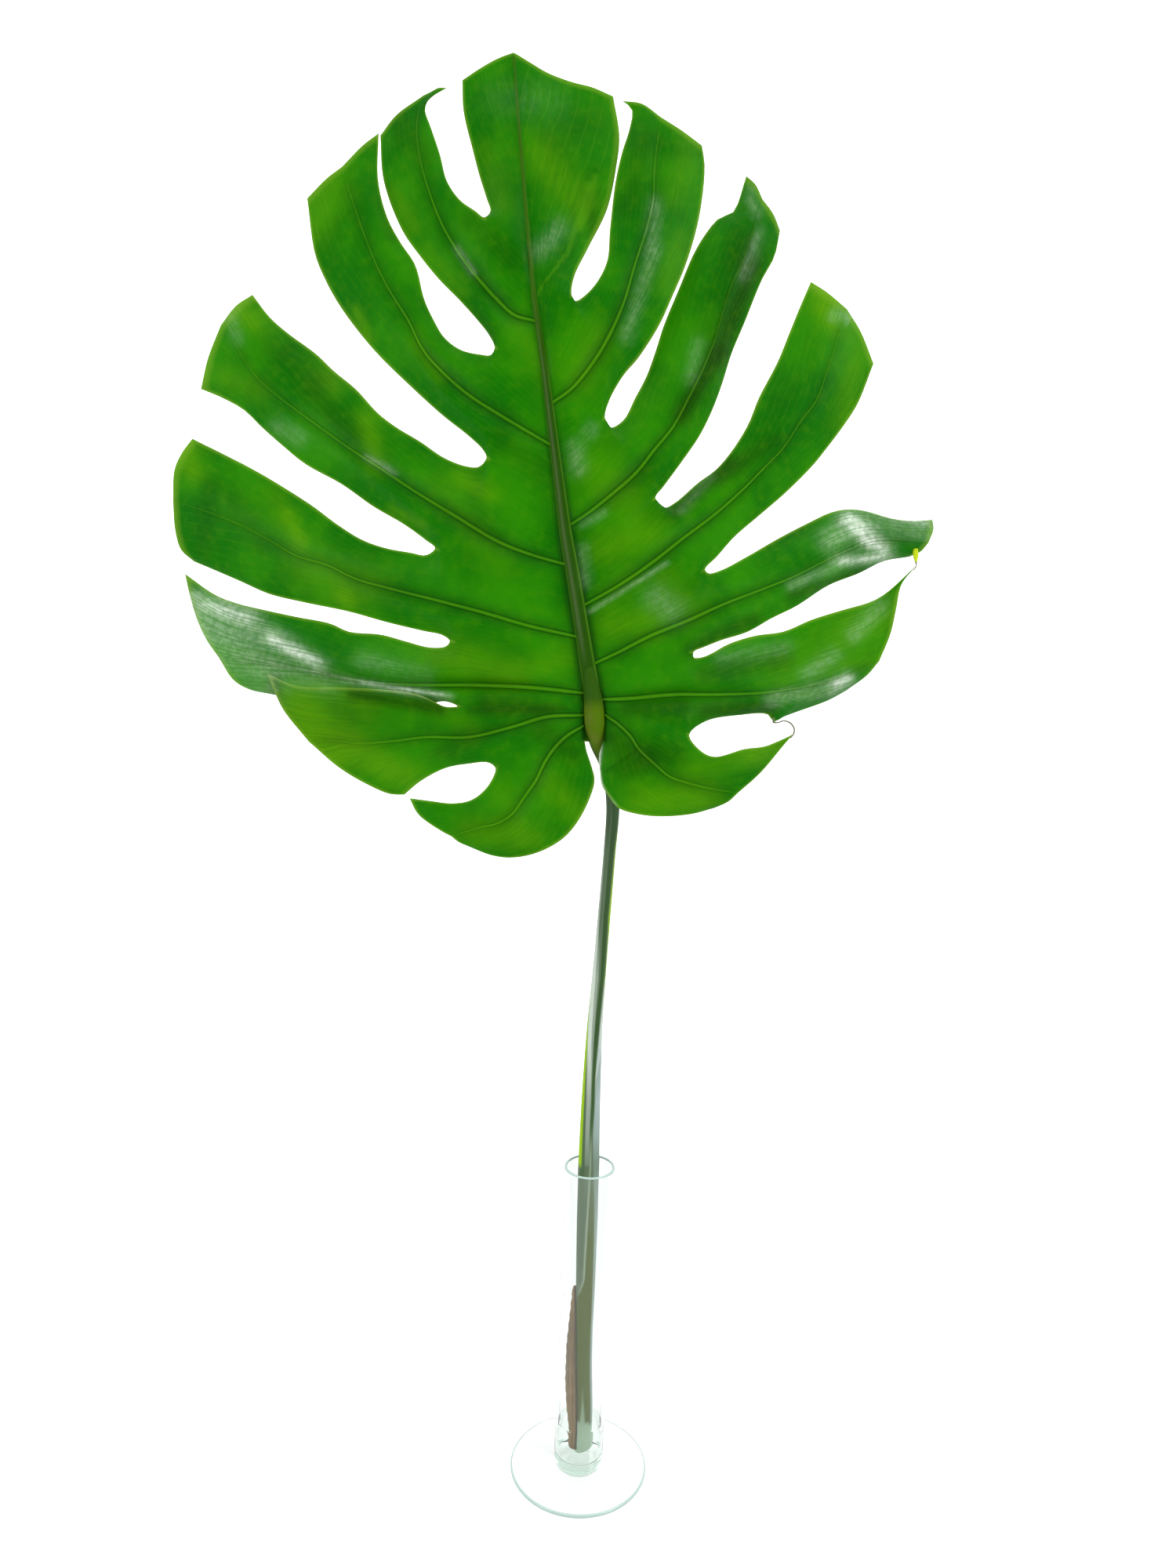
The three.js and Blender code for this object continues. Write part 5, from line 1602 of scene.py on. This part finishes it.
def buildVase():
    shape = vaseShape
    footRound = shape["footRound"]
    foot = [(0, 0)]
    foot += cornerArc(shape["footRadius"] - footRound, footRound, footRound, -90, 0)
    foot += cornerArc(shape["footRadius"] - footRound, shape["footThickness"] - footRound, footRound, 0, 90)
    foot += [(0, shape["footThickness"])]
    base = shape["footThickness"] + shape["bondGap"]
    bore = shape["tubeRadius"] - shape["wall"]
    floorHeight = base + shape["bottom"]
    rimRound = shape["wall"] / 2
    tube = [(0, base)]
    tube += cornerArc(shape["tubeRadius"] - shape["bottomRound"], base + shape["bottomRound"],
                      shape["bottomRound"], -90, 0)
    tube += cornerArc(shape["tubeRadius"] - rimRound, shape["rim"] - rimRound, rimRound, 0, 180, 12)
    inner = shape["innerRound"]
    tube += cornerArc(bore - inner, floorHeight + inner, inner, 0, -90)
    tube += [(0, floorHeight)]
    glass = makeGlassMaterial("clearGlass", glassLook, glassLook["greenDensity"])
    edge = makeEdgeMaterial()
    footPiece = makePiece("vaseFoot", *turnProfile(foot, shape["sides"]), "glass", [glass, edge], ["vase_foot"])
    for face in footPiece.data.polygons:
        face.material_index = int(math.hypot(*face.center[:2]) > (shape["footRadius"] - footRound) * mm)
    tubePiece = makePiece("vaseTube", *turnProfile(tube, shape["sides"]), "glass", [glass, edge], ["vase_tube"])
    for face in tubePiece.data.polygons:
        face.material_index = int(face.center[2] > (shape["rim"] - rimRound) * mm)
    letLightPass(footPiece)
    letLightPass(tubePiece)
    reach = bore - waterShape["insideGlass"]
    under = floorHeight + waterShape["insideGlass"]
    water = [(0, under)]
    water += cornerArc(reach - inner, under + inner, inner, -90, 0)
    for step in range(12):
        away = waterShape["creepReach"] * (step / 11) ** 2
        lift = waterShape["creep"] * math.exp(-away / waterShape["creepWidth"])
        water.append((reach - away, waterShape["level"] + lift))
    water += [(0, waterShape["level"])]
    letLightPass(makePiece("tubeWater", *turnProfile(water, shape["sides"]), "water",
                           [makeGlassMaterial("clearWater", waterLook)], ["water"]))


buildVase()
print("vase and water done")


# Drops and tiny bubbles on the inner wall: [angle from the front, height, radius]

dropShape = {
    "spots": [
        (-62, 118, 0.9), (-52, 69.5, 0.55), (-38, 72.5, 0.45), (-55, 96, 0.35), (20, 60, 0.3), (48, 86, 0.3),
    ],
    "sides": 16,
    "rings": 8,
    "flatness": 0.5,
    "tallness": 1.2,
    "intoWall": 0.1,
}


def makeDrops():
    shape, points, faces = dropShape, [], []
    bore = vaseShape["tubeRadius"] - vaseShape["wall"]
    for degrees, height, radius in shape["spots"]:
        turn = math.radians(degrees)
        outward = np.array([math.sin(turn), -math.cos(turn), 0])
        sideways = np.array([math.cos(turn), math.sin(turn), 0])
        upward = np.array([0, 0, shape["tallness"]])
        middle = outward * (bore + shape["intoWall"]) + np.array([0, 0, height])
        rows = []
        for ring in range(shape["rings"] + 1):
            polar = math.pi * ring / shape["rings"]
            row = []
            for side in range(shape["sides"] if 0 < ring < shape["rings"] else 1):
                angle = 2 * math.pi * side / shape["sides"]
                around = sideways * math.cos(angle) + upward * math.sin(angle)
                row.append(len(points))
                points.append(middle + radius * (outward * math.cos(polar) * shape["flatness"]
                                                 + math.sin(polar) * around))
            rows.append(row)
        for upper, lower in zip(rows, rows[1:]):
            for side in range(shape["sides"]):
                corners = [upper[side % len(upper)], upper[(side + 1) % len(upper)],
                           lower[(side + 1) % len(lower)], lower[side % len(lower)]]
                corners = [corner for i, corner in enumerate(corners) if corner != corners[i - 1]]
                faces.append(tuple(corners[::-1]))
    return points, faces


makePiece("waterDrops", *makeDrops(), "water", [makeGlassMaterial("dropWater", waterLook)])
print("drops done")


# Floor, light and camera

def makeFloor():
    look = {"size": 12.0, "height": -0.0003, "colour": (0.68, 0.68, 0.68), "lift": 0.5}
    half = look["size"] / 2
    corners = [(x * half, y * half, look["height"]) for x, y in ((-1, -1), (1, -1), (1, 1), (-1, 1))]
    mesh = bpy.data.meshes.new("studioFloor")
    mesh.from_pydata(corners, [], [(0, 1, 2, 3)])
    floor = bpy.data.objects.new("studioFloor", mesh)
    bpy.context.scene.collection.objects.link(floor)
    material, shader = newMaterial("floorPaper", look["colour"], roughness=0.9, specular=0.1)
    tree = material.node_tree
    shader.inputs["Emission Color"].default_value = (1, 1, 1, 1)
    seen = addNode(tree, "ShaderNodeLightPath").outputs["Is Camera Ray"]
    feed(tree, shader.inputs["Emission Strength"], times(tree, seen, look["lift"]))  # stays white in view
    mesh.materials.append(material)


def addPanel(name, place, target, width, height, power):
    lamp = bpy.data.lights.new(name, "AREA")
    lamp.shape = "RECTANGLE"
    lamp.size, lamp.size_y, lamp.energy = width, height, power
    panel = bpy.data.objects.new(name, lamp)
    panel.location = place
    panel.rotation_euler = (Vector(target) - Vector(place)).to_track_quat("-Z", "Y").to_euler()
    panel.visible_camera = False
    bpy.context.scene.collection.objects.link(panel)


def makeSky():  # a white room, dimmer on the side that the leaf faces, brighter overhead
    look = {"behind": 1.1, "front": 0.35, "overhead": 1.6, "shown": 1.5, "throughGlass": 1.03}
    world = bpy.data.worlds.new("studioSky")
    bpy.context.scene.world = world
    world.use_nodes = True
    tree = world.node_tree
    background = tree.nodes["Background"]
    background.inputs["Color"].default_value = (1, 1, 1, 1)
    direction = addNode(tree, "ShaderNodeTexCoord").outputs["Generated"]
    parts = addNode(tree, "ShaderNodeSeparateXYZ", {0: direction}).outputs
    around = rampValue(tree, parts["Y"], -0.8, 0.5, look["front"], look["behind"])
    strength = calc(tree, "ADD", around, rampValue(tree, parts["Z"], 0.65, 0.9, 0.0, look["overhead"]))
    rays = addNode(tree, "ShaderNodeLightPath").outputs
    throughGlass = calc(tree, "SUBTRACT", rays["Is Transmission Ray"], rays["Is Diffuse Ray"], limit=True)
    seen = calc(tree, "MAXIMUM", rays["Is Camera Ray"], rays["Is Transmission Ray"])
    dimmed = times(tree, throughGlass, look["throughGlass"] - look["shown"])
    shown = calc(tree, "ADD", look["shown"], dimmed)
    lit = times(tree, strength, calc(tree, "SUBTRACT", 1.0, seen))
    feed(tree, background.inputs["Strength"], calc(tree, "ADD", lit, times(tree, seen, shown)))


def makeCamera():
    view = {"place": (-0.0096, -0.612, 0.5145), "lens": 25.2, "down": 8.233, "roll": 2.155}
    down, roll = math.radians(view["down"]), math.radians(view["roll"])
    forward = Vector((0, math.cos(down), -math.sin(down)))
    level, upward = Vector((1, 0, 0)), Vector((0, math.sin(down), math.cos(down)))
    right = level * math.cos(roll) + upward * math.sin(roll)
    up = upward * math.cos(roll) - level * math.sin(roll)
    camera = bpy.data.objects.new("camera", bpy.data.cameras.new("camera"))
    camera.data.lens = view["lens"]
    camera.data.sensor_width = 36
    camera.data.clip_start = 0.01
    turn = Matrix((right, up, -forward)).transposed().to_4x4()
    camera.matrix_world = Matrix.Translation(view["place"]) @ turn
    bpy.context.scene.collection.objects.link(camera)
    bpy.context.scene.camera = camera


makeFloor()
makeSky()
addPanel("leftPanel", (-1.35, -1.05, 0.7), (-0.2, 0, 0.5), 0.55, 0.8, 13)
addPanel("rightPanel", (1.2, -0.56, 1.55), (0.14, 0, 0.57), 0.6, 0.8, 13)
addPanel("lowRightPanel", (1.25, -1.1, 0.35), (0.1, 0, 0.49), 0.5, 0.5, 7)
makeCamera()
bpy.context.scene.view_settings.view_transform = "Standard"
